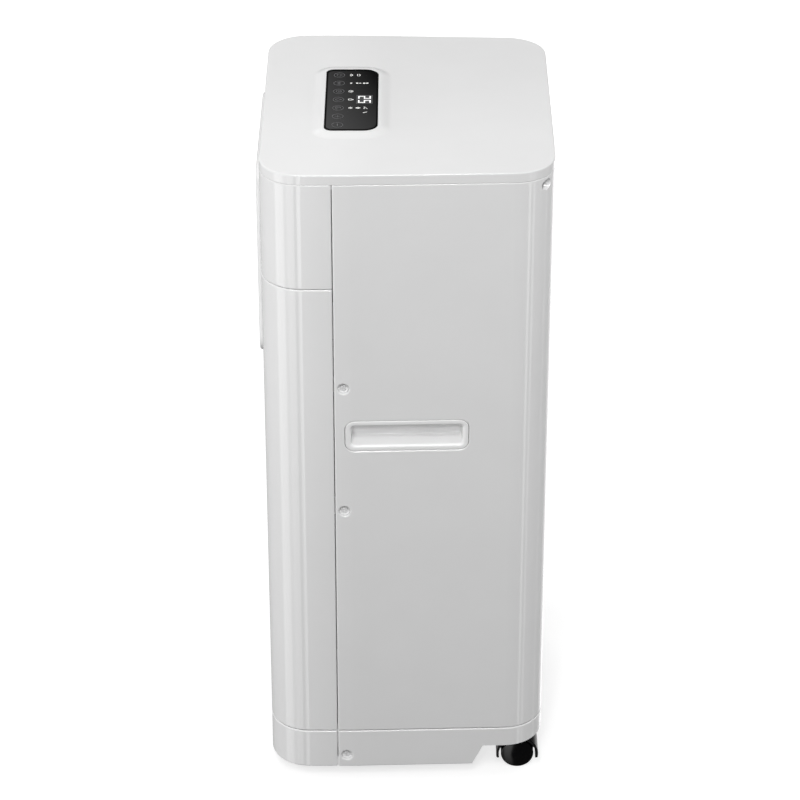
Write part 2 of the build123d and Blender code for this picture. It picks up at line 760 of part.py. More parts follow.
def make_top_cover():
    low = COVER_SEAM - SEAM_GAP / 2 + COVER_GAP
    body = slab(low, BODY_HEIGHT)
    levels = body.edges().group_by(Axis.Z)
    body = fillet(list(levels[-1]), TOP_ROUND)
    body = fillet(list(body.edges().group_by(Axis.Z)[0]), EDGE_ROUND / 4)
    body = body - slab(low - 1, COVER_UNDER, WALL)
    lip = lip_ring(COVER_SEAM - LIP_HEIGHT, COVER_UNDER + COVER_THICK / 2)
    lip_end = REAR_Y - REAR_BORE_FLOOR - POCKET_FLOOR - SCREW_LENGTH - CORNER_RADIUS / 2
    body = body + (lip & block(-WIDE, WIDE, FRONT_Y, lip_end, 0, TALL))
    body = body + raised_field() + both_sides(rear_post())
    pocket = extrude(panel_face(0, GLASS_BASE), FIELD_TOP, dir=(0, 0, 1))
    window = extrude(panel_face(-WINDOW_LEDGE, COVER_UNDER - 1), TALL, dir=(0, 0, 1))
    body = body - pocket - window
    for x, y in board_posts():
        body = body + rod_z(BOARD_POST, x, y, BOARD_TOP, COVER_UNDER + 1)
    return body


top_cover = make_top_cover()


def make_control_glass():
    body = extrude(panel_face(-FIT, GLASS_BASE), GLASS_THICK, dir=(0, 0, 1))
    top = body.faces().sort_by(Axis.Z)[-1]
    return chamfer(top.edges(), GLASS_BEVEL_DROP, GLASS_BEVEL, reference=None)


control_glass = make_control_glass()
control_board = extrude(
    Pos(0, PANEL_Y, BOARD_TOP - BOARD_THICK)
    * Rectangle(PANEL_WIDTH - 2 * WINDOW_LEDGE, PANEL_DEPTH),
    BOARD_THICK,
)
readout_module = block(
    -READOUT_WIDTH / 2, READOUT_WIDTH / 2, PANEL_Y + READOUT_Y - READOUT_DEPTH / 2,
    PANEL_Y + READOUT_Y + READOUT_DEPTH / 2, BOARD_TOP, GLASS_BASE - FIT
)


# Screws
def pan_screw(start, axis, length):
    """Pan-head screw with its head's underside at start, driven along axis."""
    plane = Plane(origin=start, z_dir=axis)
    head = extrude(plane * Circle(SCREW_HEAD), -SCREW_HEAD_HEIGHT)
    head = fillet(head.faces().sort_by(Axis(start, axis))[0].edges(), SCREW_HEAD_HEIGHT / 2)
    shank = extrude(plane * Circle(SCREW_SHANK), length)
    cross = plane * Rectangle(SCREW_HEAD, DRIVE_SLOT) + plane * Rectangle(DRIVE_SLOT, SCREW_HEAD)
    drive = extrude(cross, -SCREW_HEAD_HEIGHT) - extrude(plane * Circle(SCREW_HEAD), -DRIVE_FLOOR)
    return head + shank - drive


def make_side_screws():
    spots = [(HALF_WIDTH - POCKET_DEPTH, SCREW_Y, z) for z in SIDE_SCREW_Z + (BASE_SCREW_Z,)]
    right = [pan_screw(spot, (-1, 0, 0), SCREW_LENGTH) for spot in spots]
    left = [mirror(screw, about=Plane.YZ) for screw in right]
    return group(right + left)


def make_rear_screws():
    spot = (REAR_SCREW_X, REAR_Y - REAR_BORE_FLOOR, REAR_SCREW_Z)
    right = pan_screw(spot, (0, -1, 0), SCREW_LENGTH)
    return group([right, mirror(right, about=Plane.YZ)])


# Outlet and louvre
MOUTH_WIDTH = OUTLET_WIDTH - 2 * OUTLET_RIM
MOUTH_HEIGHT = OUTLET_HEIGHT - 2 * OUTLET_RIM
NECK_END = FRONT_Y + NECK_DEPTH
BLADE_Y = FRONT_Y + BLADE_INSET
BLADE_PITCH = MOUTH_HEIGHT / BLADE_COUNT
BLADE_Z = [OUTLET_Z + ((BLADE_COUNT - 1) / 2 - i) * BLADE_PITCH for i in range(BLADE_COUNT)]
DRIVE_BLADE = BLADE_COUNT // 2
BLADE_LEFT = -MOUTH_WIDTH / 2 + BLADE_END_GAP
BLADE_RIGHT = MOUTH_WIDTH / 2 - BAR_SLOT


def make_outlet_frame():
    face_y = FRONT_Y - OUTLET_PROUD
    flange = front_rect(OUTLET_WIDTH, OUTLET_HEIGHT, OUTLET_CORNER, OUTLET_Z, face_y, FRONT_Y)
    flange = fillet(flange.faces().sort_by(Axis.Y)[0].edges(), OUTLET_EDGE)
    neck = front_rect(
        MOUTH_WIDTH + 2 * NECK_WALL, MOUTH_HEIGHT + 2 * NECK_WALL, MOUTH_CORNER + NECK_WALL,
        OUTLET_Z, FRONT_Y - OUTLET_PROUD / 2, NECK_END - FIT
    )
    mouth = front_rect(
        MOUTH_WIDTH, MOUTH_HEIGHT, MOUTH_CORNER, OUTLET_Z, face_y - 1, NECK_END + 1
    )
    body = flange + neck - mouth
    reach = MOUTH_WIDTH / 2 + NECK_WALL + 1
    for z in BLADE_Z:
        body = body - rod_x(PIVOT_RADIUS + RUN_FIT, -reach, reach, BLADE_Y, z)
    return body


outlet_frame = make_outlet_frame()


def louvre_blade(index):
    """Flat vane with a pivot pin at each end and a crank pin behind the right one."""
    z = BLADE_Z[index]
    plane = Plane(origin=(BLADE_LEFT, BLADE_Y, z), x_dir=(0, 1, 0), z_dir=(1, 0, 0))
    vane = extrude(plane * SlotOverall(BLADE_CHORD, BLADE_THICK), BLADE_RIGHT - BLADE_LEFT)
    pin_end = MOUTH_WIDTH / 2 + NECK_WALL
    left_end = pin_end + SWING_BORE - FIT if index == DRIVE_BLADE else pin_end
    pins = rod_x(PIVOT_RADIUS, -left_end, BLADE_LEFT + PIN_ROOT, BLADE_Y, z)
    pins = pins + rod_x(PIVOT_RADIUS, BLADE_RIGHT - PIN_ROOT, pin_end, BLADE_Y, z)
    bar_end = BLADE_RIGHT + FIT + BAR_THICK + FIT
    crank = rod_x(CRANK_RADIUS, BLADE_RIGHT - PIN_ROOT, bar_end, BLADE_Y + CRANK_ARM, z)
    return vane + pins + crank


def make_tie_bar():
    x0 = BLADE_RIGHT + FIT
    y = BLADE_Y + CRANK_ARM
    length = BLADE_Z[0] - BLADE_Z[-1] + 2 * BAR_HALF
    plane = Plane(origin=(x0, y, OUTLET_Z), x_dir=(0, 0, 1), z_dir=(1, 0, 0))
    bar = extrude(plane * SlotOverall(length, 2 * BAR_HALF), BAR_THICK)
    for z in BLADE_Z:
        bar = bar - rod_x(CRANK_RADIUS + RUN_FIT, x0 - 1, x0 + BAR_THICK + 1, y, z)
    return bar


def make_swing_motor():
    """Small geared motor on the side of the neck, driving the middle blade."""
    x = -MOUTH_WIDTH / 2 - NECK_WALL
    z = BLADE_Z[DRIVE_BLADE]
    body = rod_x(SWING_RADIUS, x - SWING_LENGTH, x, BLADE_Y, z)
    plane = Plane(origin=(x, BLADE_Y, z), x_dir=(0, 0, 1), z_dir=(-1, 0, 0))
    ears = extrude(plane * SlotOverall(4 * SWING_RADIUS, SWING_RADIUS * 0.7), SWING_EAR)
    return body + ears - rod_x(PIVOT_RADIUS + RUN_FIT, x - SWING_BORE, x + 1, BLADE_Y, z)


def make_outlet_guard():
    """Upright bars in the neck behind the louvre that keep fingers off the fan."""
    y1 = NECK_END - FIT
    y0 = y1 - GUARD_DEPTH
    width = MOUTH_WIDTH - 2 * FIT
    height = MOUTH_HEIGHT - 2 * FIT
    ring = front_rect(width, height, MOUTH_CORNER - FIT, OUTLET_Z, y0, y1)
    corner = MOUTH_CORNER - FIT - GUARD_RIB
    inner = front_rect(
        width - 2 * GUARD_RIB, height - 2 * GUARD_RIB, corner, OUTLET_Z, y0 - 1, y1 + 1
    )
    body = ring - inner
    pitch = width / (GUARD_COUNT + 1)
    half = height / 2 - GUARD_RIB / 2
    for i in range(GUARD_COUNT):
        x = -width / 2 + pitch * (i + 1)
        body = body + block(
            x - GUARD_RIB / 2, x + GUARD_RIB / 2, y0, y1, OUTLET_Z - half, OUTLET_Z + half
        )
    return body


# Fan
RING_INNER = FAN_RADIUS + FAN_TIP_GAP
BULK_BACK = NECK_END + BULKHEAD_THICK
RING_END = BULK_BACK + RING_DEPTH
MOTOR_FRONT = RING_END + SPIDER_THICK
HUB_FRONT = BULK_BACK + HUB_LEAD


def make_bulkhead():
    """Wall across the casing with the round orifice the fan runs in."""
    half = HALF_WIDTH - BULKHEAD_SIDE
    top = COVER_SEAM - BULKHEAD_TOP_GAP
    wall = block(-half, half, NECK_END, BULK_BACK, DECK_TOP, top)
    ring = rod_y(RING_INNER + RING_WALL, 0, BULK_BACK, RING_END, OUTLET_Z)
    return wall + ring - rod_y(RING_INNER, 0, NECK_END - 1, RING_END + 1, OUTLET_Z)


def make_spider():
    """Four arms from the ring to the plate that carries the motor."""
    y0 = RING_END
    y1 = RING_END + SPIDER_THICK
    half = SPIDER_ARM / 2
    reach = RING_INNER
    body = rod_y(RING_INNER + RING_WALL, 0, y0, y1, OUTLET_Z)
    body = body - rod_y(RING_INNER - RING_WALL, 0, y0 - 1, y1 + 1, OUTLET_Z)
    body = body + block(-reach, reach, y0, y1, OUTLET_Z - half, OUTLET_Z + half)
    body = body + block(-half, half, y0, y1, OUTLET_Z - reach, OUTLET_Z + reach)
    body = body + rod_y(MOTOR_RADIUS, 0, y0, y1, OUTLET_Z)
    return body - rod_y(SHAFT_RADIUS + SHAFT_HOLE_GAP, 0, y0 - 1, y1 + 1, OUTLET_Z)


def make_fan_motor():
    body = rod_y(MOTOR_RADIUS, 0, MOTOR_FRONT, MOTOR_FRONT + MOTOR_LENGTH, OUTLET_Z)
    body = fillet(body.faces().sort_by(Axis.Y)[-1].edges(), MOTOR_ROUND)
    bore_end = MOTOR_FRONT + SHAFT_IN_MOTOR + FIT
    return body - rod_y(SHAFT_RADIUS + RUN_FIT, 0, MOTOR_FRONT - 1, bore_end, OUTLET_Z)


SHAFT_FRONT = HUB_FRONT + HUB_NOSE
fan_shaft = rod_y(SHAFT_RADIUS, 0, SHAFT_FRONT, MOTOR_FRONT + SHAFT_IN_MOTOR, OUTLET_Z)


def fan_blade(turn):
    """One twisted blade: pitch eases from root to tip."""
    middle = HUB_FRONT + HUB_LENGTH / 2
    sections = []
    for t in (0.0, 0.5, 1.0):
        radius = HUB_RADIUS - BLADE_ROOT + t * (FAN_RADIUS - HUB_RADIUS + BLADE_ROOT)
        chord = FAN_ROOT_CHORD + t * (FAN_TIP_CHORD - FAN_ROOT_CHORD)
        pitch = math.radians(FAN_ROOT_PITCH + t * (FAN_TIP_PITCH - FAN_ROOT_PITCH))
        plane = Plane(
            origin=(0, middle, radius), x_dir=(math.cos(pitch), math.sin(pitch), 0), z_dir=(0, 0, 1)
        )
        sections.append(plane * Rectangle(chord, FAN_BLADE_THICK))
    blade = loft(sections)
    tip = rod_y(FAN_RADIUS, 0, HUB_FRONT - HUB_LENGTH, HUB_FRONT + 2 * HUB_LENGTH, 0)
    return Pos(0, 0, OUTLET_Z) * Rot(0, turn, 0) * (blade & tip)


def make_fan_wheel():
    body = rod_y(HUB_RADIUS, 0, HUB_FRONT, HUB_FRONT + HUB_LENGTH, OUTLET_Z)
    body = fillet(body.faces().sort_by(Axis.Y)[0].edges(), HUB_ROUND)
    for i in range(FAN_BLADES):
        body = body + fan_blade(i * 360 / FAN_BLADES)
    end = HUB_FRONT + HUB_LENGTH + 1
    return body - rod_y(SHAFT_RADIUS + RUN_FIT / 3, 0, SHAFT_FRONT, end, OUTLET_Z)


# Deck, coils and drain
COIL_REAR = REAR_Y - COIL_REAR_INSET
EVAP_Y = COIL_REAR - COIL_DEPTH
COND_Y = EVAP_Y - COIL_GAP - COIL_DEPTH
TUBE_START = COIL_BASE + (COIL_HEIGHT - (TUBE_ROWS - 1) * TUBE_PITCH) / 2
TUBE_Z = [TUBE_START + i * TUBE_PITCH for i in range(TUBE_ROWS)]
BEND_REACH = TUBE_PITCH / 2 + TUBE_RADIUS
COIL_END = side_x(GRIP_WIDTH / 2) - GRIP_DEPTH - GRIP_WALL - BEND_REACH - COIL_SIDE_GAP
PIPE_X = COIL_END + PIPE_SIDE
COMP_Y = FRONT_Y + COMP_INSET
PIPE_Y = COMP_Y
DRIP_Y = REAR_Y - DRIP_INSET
DRAIN_NOZZLE_Y = REAR_Y - DRAIN_NOZZLE_INSET


def fin_pack(y0):
    """Stack of upright fins between two end plates."""
    y1 = y0 + COIL_DEPTH
    count = int((COIL_END - END_PLATE) * 2 // FIN_PITCH)
    start = -count * FIN_PITCH / 2
    front = [(-COIL_END, y0)]
    back = [(-COIL_END, y1)]
    for i in range(count):
        x0 = start + i * FIN_PITCH + FIN_THICK / 2
        x1 = start + (i + 1) * FIN_PITCH - FIN_THICK / 2
        front += [(x0, y0), (x0, y0 + FIN_SLOT), (x1, y0 + FIN_SLOT), (x1, y0)]
        back += [(x0, y1), (x0, y1 - FIN_SLOT), (x1, y1 - FIN_SLOT), (x1, y1)]
    front.append((COIL_END, y0))
    back.append((COIL_END, y1))
    face = make_face(Polyline(*front, *reversed(back), close=True))
    return extrude(Pos(0, 0, COIL_BASE) * face, COIL_HEIGHT, dir=(0, 0, 1))


def return_bend(side, y, z0):
    """Half ring of tube that joins two rows at one end of a coil."""
    x = side * COIL_END
    radius = TUBE_PITCH / 2
    plane = Plane(origin=(x, y, z0), z_dir=(side, 0, 0))
    path = ThreePointArc((x, y, z0), (x + side * radius, y, z0 + radius), (x, y, z0 + TUBE_PITCH))
    return sweep(plane * Circle(TUBE_RADIUS), path=path)


def coil_bends(y0, side):
    """Bends of one coil, whose two open ends are on the other side."""
    y = y0 + COIL_DEPTH / 2
    bends = [return_bend(side, y, TUBE_Z[i]) for i in range(0, TUBE_ROWS - 1, 2)]
    bends += [return_bend(-side, y, TUBE_Z[i]) for i in range(1, TUBE_ROWS - 1, 2)]
    return group(bends)


def make_deck():
    body = slab(DECK_Z, DECK_TOP, WALL + FIT)
    rear = INTAKE_DEPTH + FILTER_DEPTH + WALL
    body = body - block(-WIDE, WIDE, REAR_Y - rear, REAR_Y, 0, TALL)
    for x in (-PIPE_X, PIPE_X):
        body = body - rod_z(PIPE_RADIUS + PIPE_HOLE_GAP, x, PIPE_Y, DECK_Z - 1, DECK_TOP + 1)
    nozzle = NOZZLE_RADIUS + HOSE_WALL + PIPE_HOLE_GAP
    for x, y in ((0, DRIP_Y), (DRAIN_X, DRAIN_NOZZLE_Y)):
        body = body - rod_z(nozzle, x, y, DECK_Z - 1, DECK_TOP + 1)
    return body


def make_drip_tray():
    half = COIL_END + TRAY_MARGIN
    y0 = COND_Y - TRAY_MARGIN
    y1 = COIL_REAR + TRAY_MARGIN + NOZZLE_RADIUS
    body = block(-half, half, y0, y1, DECK_TOP, DECK_TOP + TRAY_HEIGHT)
    half = half - TRAY_WALL
    floor = DECK_TOP + TRAY_WALL
    body = body - block(-half, half, y0 + TRAY_WALL, y1 - TRAY_WALL, floor, TALL)
    for x, y, drop in ((0, DRIP_Y, DRIP_DROP), (DRAIN_X, DRAIN_NOZZLE_Y, NOZZLE_DROP)):
        low = DECK_TOP - drop
        body = body + rod_z(NOZZLE_RADIUS, x, y, low, floor - TRAY_WALL / 2)
        body = body - rod_z(NOZZLE_RADIUS - NOZZLE_WALL, x, y, low - 1, floor + 1)
    return body


HOSE_INNER = NOZZLE_RADIUS + FIT
CUP_BACK = REAR_Y - CUP_DEPTH


def make_drain_hose():
    points = [
        (DRAIN_X, DRAIN_NOZZLE_Y, DECK_TOP - FIT),
        (DRAIN_X, DRAIN_NOZZLE_Y, DRAIN_Z),
        (DRAIN_X, CUP_BACK - FIT, DRAIN_Z),
    ]
    return tube(HOSE_INNER + HOSE_WALL, points, HOSE_BEND) - tube(HOSE_INNER, points, HOSE_BEND)


def make_drain_fitting():
    """Cup let into the back with a hose spout in its middle."""
    floor = CUP_BACK + CUP_WALL
    spigot = DRAIN_NOZZLE_Y + HOSE_BEND + FIT
    half = [
        (SPOUT_BORE, spigot),
        (NOZZLE_RADIUS, spigot),
        (NOZZLE_RADIUS, CUP_BACK),
        (CUP_RADIUS, CUP_BACK),
        (CUP_RADIUS, REAR_Y - CUP_FLANGE_THICK),
        (CUP_FLANGE, REAR_Y - CUP_FLANGE_THICK),
        (CUP_FLANGE, REAR_Y),
        (CUP_RADIUS - CUP_WALL, REAR_Y),
        (CUP_RADIUS - CUP_WALL, floor),
        (SPOUT_RADIUS, floor),
        (SPOUT_RADIUS, floor + SPOUT_LENGTH),
        (SPOUT_BORE, floor + SPOUT_LENGTH),
    ]
    body = revolve(make_face(Polyline(*half, close=True)), axis=Axis.Y)
    return Pos(DRAIN_X, 0, DRAIN_Z) * body


SPOUT_END = CUP_BACK + CUP_WALL + SPOUT_LENGTH


def make_drain_plug():
    stem = rod_y(SPOUT_BORE - RUN_FIT, DRAIN_X, SPOUT_END - PLUG_LENGTH, SPOUT_END, DRAIN_Z)
    head = rod_y(PLUG_HEAD, DRAIN_X, SPOUT_END, SPOUT_END + PLUG_HEAD_THICK, DRAIN_Z)
    return stem + fillet(head.faces().sort_by(Axis.Y)[-1].edges(), PLUG_EDGE)


def make_cord_gland():
    inner = REAR_Y - GLAND_LENGTH
    outer = REAR_Y + GLAND_FLANGE_THICK
    neck = rod_y(GLAND_RADIUS, GLAND_X, inner, REAR_Y, DRAIN_Z)
    flange = rod_y(GLAND_FLANGE, GLAND_X, REAR_Y, outer, DRAIN_Z)
    flange = fillet(flange.faces().sort_by(Axis.Y)[-1].edges(), GLAND_FLANGE_THICK / 2)
    return neck + flange - rod_y(GLAND_BORE, GLAND_X, inner - 1, outer + 1, DRAIN_Z)


# Compressor and pipes
FOOT_Z = FLOOR_TOP + GROMMET_HEIGHT
COMP_TOP = FOOT_Z + COMP_HEIGHT
ACCU_X = COMP_X + COMP_RADIUS + ACCU_GAP + ACCU_RADIUS
ACCU_TOP = FOOT_Z + ACCU_BASE + ACCU_LENGTH
DISCHARGE_Z = DECK_Z - DISCHARGE_DROP
SUCTION_Z = DECK_Z - SUCTION_DROP


def foot_spots():
    turns = [math.radians(60 + i * 360 / FOOT_COUNT) for i in range(FOOT_COUNT)]
    return [(COMP_X + FOOT_REACH * math.cos(a), COMP_Y + FOOT_REACH * math.sin(a)) for a in turns]


def make_compressor():
    """Welded can with domed ends on a three-armed foot."""
    body = rod_z(COMP_RADIUS, COMP_X, COMP_Y, FOOT_Z, COMP_TOP)
    body = fillet(body.faces().sort_by(Axis.Z)[-1].edges(), COMP_DOME)
    foot_top = FOOT_Z + FOOT_THICK
    for x, y in foot_spots():
        turn = math.degrees(math.atan2(y - COMP_Y, x - COMP_X))
        arm = Pos(COMP_X, COMP_Y, FOOT_Z + FOOT_THICK / 2) * Rot(0, 0, turn)
        body = body + arm * Pos(FOOT_REACH / 2, 0, 0) * Box(FOOT_REACH, FOOT_WIDTH, FOOT_THICK)
        body = body + rod_z(FOOT_PAD, x, y, FOOT_Z, foot_top)
        body = body - rod_z(STUD_RADIUS + FIT, x, y, FOOT_Z - 1, foot_top + 1)
    cap = block(
        COMP_X - TERMINAL_HALF, COMP_X + TERMINAL_HALF, COMP_Y + TERMINAL_FRONT,
        COMP_Y + TERMINAL_BACK, COMP_TOP - COMP_DOME, COMP_TOP + TERMINAL_RISE
    )
    return body + fillet(cap.faces().sort_by(Axis.Z)[-1].edges(), TERMINAL_ROUND)


def make_grommets():
    rings = [
        rod_z(GROMMET_RADIUS, x, y, FLOOR_TOP, FOOT_Z)
        - rod_z(STUD_RADIUS + FIT, x, y, FLOOR_TOP - 1, FOOT_Z + 1)
        for x, y in foot_spots()
    ]
    return group(rings)


def make_studs():
    studs = []
    for x, y in foot_spots():
        seat = FOOT_Z + FOOT_THICK
        stud = rod_z(STUD_RADIUS, x, y, FLOOR_TOP, seat + STUD_RISE)
        nut = extrude(Pos(x, y, seat) * RegularPolygon(NUT_RADIUS, 6), NUT_HEIGHT)
        studs.append(stud + nut)
    return group(studs)


def make_accumulator():
    """Suction bottle strapped to the can, with its outlet elbow into it."""
    low = FOOT_Z + ACCU_BASE
    bottle = rod_z(ACCU_RADIUS, ACCU_X, COMP_Y, low, ACCU_TOP)
    bottle = fillet(bottle.edges().filter_by(GeomType.CIRCLE), ACCU_RADIUS * 0.6)
    middle = low + ACCU_LENGTH / 2
    edge = COMP_X + COMP_RADIUS - STRAP_LAP
    half = STRAP_HALF
    strap = block(edge, ACCU_X, COMP_Y - half, COMP_Y + half, middle - half, middle + half)
    elbow_z = low - ACCU_ELBOW
    points = [(ACCU_X, COMP_Y, low + STRAP_LAP), (ACCU_X, COMP_Y, elbow_z), (edge, COMP_Y, elbow_z)]
    elbow = tube(PIPE_RADIUS, points, ELBOW_BEND)
    return bottle + (strap + elbow - rod_z(COMP_RADIUS + FIT, COMP_X, COMP_Y, FOOT_Z, COMP_TOP))


COND_MID = COND_Y + COIL_DEPTH / 2
EVAP_MID = EVAP_Y + COIL_DEPTH / 2


def make_discharge_pipe():
    top = TUBE_Z[-1]
    points = [
        (COMP_X, COMP_Y, COMP_TOP),
        (COMP_X, COMP_Y, DISCHARGE_Z),
        (-PIPE_X, PIPE_Y, DISCHARGE_Z),
        (-PIPE_X, PIPE_Y, top + TUBE_PITCH),
        (-PIPE_X, COND_MID, top + TUBE_PITCH),
        (-PIPE_X, COND_MID, top),
        (-COIL_END, COND_MID, top),
    ]
    return tube(PIPE_RADIUS, points, PIPE_BEND)


def make_suction_pipe():
    top = TUBE_Z[-1]
    points = [
        (ACCU_X, COMP_Y, ACCU_TOP),
        (ACCU_X, COMP_Y, SUCTION_Z),
        (PIPE_X, PIPE_Y, SUCTION_Z),
        (PIPE_X, PIPE_Y, top + TUBE_PITCH),
        (PIPE_X, EVAP_MID, top + TUBE_PITCH),
        (PIPE_X, EVAP_MID, top),
        (COIL_END, EVAP_MID, top),
    ]
    return tube(PIPE_RADIUS, points, PIPE_BEND)


def make_capillary():
    """Thin throttle tube from the condenser outlet round to the evaporator inlet."""
    z = TUBE_Z[0]
    reach = COIL_END + CAP_REACH
    between = EVAP_Y - COIL_GAP / 2
    points = [
        (-COIL_END, COND_MID, z),
        (-reach, COND_MID, z),
        (-reach, between, z),
        (reach, between, z),
        (reach, EVAP_MID, z),
        (COIL_END, EVAP_MID, z),
    ]
    return tube(CAP_RADIUS, points, CAP_BEND)


# Bay wall and power box
def make_bay_wall():
    half = HALF_WIDTH - BAY_WALL_SIDE
    return block(-half, half, BAY_WALL_Y, BAY_WALL_Y + BAY_WALL_THICK, FLOOR_TOP, DECK_Z)


def make_power_box():
    """Closed box on the bay wall for the power electronics."""
    x0 = ACCU_X + ACCU_RADIUS + BOX_GAP
    x1 = x0 + BOX_WIDTH
    y0 = BAY_WALL_Y - BOX_DEPTH
    z1 = BOX_Z + BOX_HEIGHT
    body = block(x0, x1, y0, BAY_WALL_Y, BOX_Z, z1)
    body = fillet(body.edges().filter_by(Axis.Y), BOX_CORNER)
    hollow = block(
        x0 + BOX_WALL, x1 - BOX_WALL, y0 + BOX_LID, BAY_WALL_Y - BOX_WALL,
        BOX_Z + BOX_WALL, z1 - BOX_WALL
    )
    return body - hollow


# Water tank
TANK_Y0 = BAY_WALL_Y + BAY_WALL_THICK + TANK_FRONT_GAP
TANK_Y1 = REAR_Y - TANK_FACE
TANK_HALF = TANK_WIDTH / 2
PULL_TOP = TANK_TOP - PULL_DROP
BAIL_Y = TANK_Y0 + TANK_WALL + BAIL_FRONT_GAP + BAIL_BAR / 2 + BAIL_ARM
BAIL_Z = TANK_TOP - BAIL_DROP
BAIL_HALF = TANK_HALF - TANK_WALL - BAIL_SIDE_GAP
FLOAT_X = FLOAT_INSET - TANK_HALF
FLOAT_PIVOT_Y = TANK_Y0 + TANK_WALL + FLOAT_PIVOT_INSET
FLOAT_PIVOT_Z = TANK_TOP - FLOAT_DROP


def pull_recess(grow):
    """Hand recess in the face of the tank."""
    half = PULL_WIDTH / 2 + grow
    low = PULL_TOP - PULL_HEIGHT - grow
    body = block(-half, half, REAR_Y - PULL_DEPTH - grow, REAR_Y + 1, low, PULL_TOP + grow)
    return fillet(body.edges().filter_by(Axis.Y), PULL_ROUND + grow)


def make_water_tank():
    body = block(-TANK_HALF, TANK_HALF, TANK_Y0, TANK_Y1 + TANK_FACE / 2, TANK_BASE, TANK_TOP)
    body = fillet(body.edges().filter_by(Axis.Z).sort_by(Axis.Y)[:2], TANK_CORNER)
    face_half = TANK_HALF + TANK_FACE_LAP
    body = body + block(-face_half, face_half, TANK_Y1, REAR_Y, TANK_BASE, FACE_TOP)
    half = TANK_HALF - TANK_WALL
    hollow = block(-half, half, TANK_Y0 + TANK_WALL, TANK_Y1, TANK_BASE + TANK_WALL, TALL)
    hollow = fillet(hollow.edges().filter_by(Axis.Z), TANK_CORNER - TANK_WALL)
    body = body - (hollow - pull_recess(TANK_WALL)) - pull_recess(0)
    ear_y = TANK_Y0 + TANK_WALL / 2
    ear_end = FLOAT_PIVOT_Y + FLOAT_EAR_HALF
    low = FLOAT_PIVOT_Z - FLOAT_EAR_HALF
    high = FLOAT_PIVOT_Z + FLOAT_EAR_HALF
    inner = FLOAT_WIDTH / 2 + FLOAT_EAR_GAP
    outer = inner + FLOAT_EAR
    for side in (-1, 1):
        x0 = FLOAT_X + side * inner
        body = body + block(x0, x0 + side * FLOAT_EAR, ear_y, ear_end, low, high)
    pivot = FLOAT_PIN + RUN_FIT
    body = body - rod_x(pivot, FLOAT_X - outer - 1, FLOAT_X + outer + 1, FLOAT_PIVOT_Y, FLOAT_PIVOT_Z)
    return body - rod_x(BAIL_PIN + RUN_FIT, -TANK_HALF - 1, TANK_HALF + 1, BAIL_Y, BAIL_Z)


def make_bail():
    """Carrying handle that lies in the mouth of the tank and swings up."""
    bar_y = BAIL_Y - BAIL_ARM
    half = BAIL_HALF
    z0 = BAIL_Z - BAIL_BAR / 2
    z1 = BAIL_Z + BAIL_BAR / 2
    bar = block(-half, half, bar_y - BAIL_BAR / 2, bar_y + BAIL_BAR / 2, z0, z1)
    bar = fillet(bar.edges().filter_by(Axis.X), BAIL_BAR * 0.35)
    arm = block(half - BAIL_STRIP, half, bar_y, BAIL_Y + BAIL_BAR / 2, z0, z1)
    pin = rod_x(BAIL_PIN, half - BAIL_STRIP / 2, TANK_HALF, BAIL_Y, BAIL_Z)
    return bar + both_sides(arm + pin)


def make_float():
    """Sealed float on a short arm, hinged on the front wall of the tank."""
    x0 = FLOAT_X - FLOAT_WIDTH / 2
    x1 = FLOAT_X + FLOAT_WIDTH / 2
    y0 = FLOAT_PIVOT_Y + FLOAT_ARM
    z0 = FLOAT_PIVOT_Z - FLOAT_HEIGHT / 2
    body = block(x0, x1, y0, y0 + FLOAT_LENGTH, z0, z0 + FLOAT_HEIGHT)
    body = fillet(body.edges(), FLOAT_ROUND)
    half = FLOAT_ARM_HALF
    z = FLOAT_PIVOT_Z
    arm = block(x0, x1, FLOAT_PIVOT_Y - half, y0 + FLOAT_ROUND + 1, z - half, z + half)
    reach = FLOAT_EAR_GAP + FLOAT_EAR
    return body + arm + rod_x(FLOAT_PIN, x0 - reach, x1 + reach, FLOAT_PIVOT_Y, z)


# Intake grille and filter
def make_intake_grille():
    """Slatted panel that fills the rear window and pulls straight out."""
    y0 = REAR_Y - INTAKE_DEPTH
    width = INTAKE_WIDTH - 2 * INTAKE_GAP
    height = INTAKE_HEIGHT - 2 * INTAKE_GAP
    body = front_rect(width, height, INTAKE_CORNER - INTAKE_GAP, INTAKE_Z, y0, REAR_Y)
    body = fillet(body.faces().sort_by(Axis.Y)[-1].edges(), INTAKE_EDGE)
    net_width = width - 2 * INTAKE_BORDER
    net_height = height - 2 * INTAKE_BORDER
    slot_width = (net_width - (SLAT_COLUMNS - 1) * COLUMN_BAR) / SLAT_COLUMNS
    pitch = (net_height + SLAT_THICK) / SLAT_COUNT
    slots = []
    for column in range(SLAT_COLUMNS):
        x0 = -net_width / 2 + column * (slot_width + COLUMN_BAR)
        for row in range(SLAT_COUNT):
            z0 = INTAKE_Z - net_height / 2 + row * pitch
            slots.append(block(x0, x0 + slot_width, y0 - 1, REAR_Y + 1, z0, z0 + pitch - SLAT_THICK))
    return body - slots


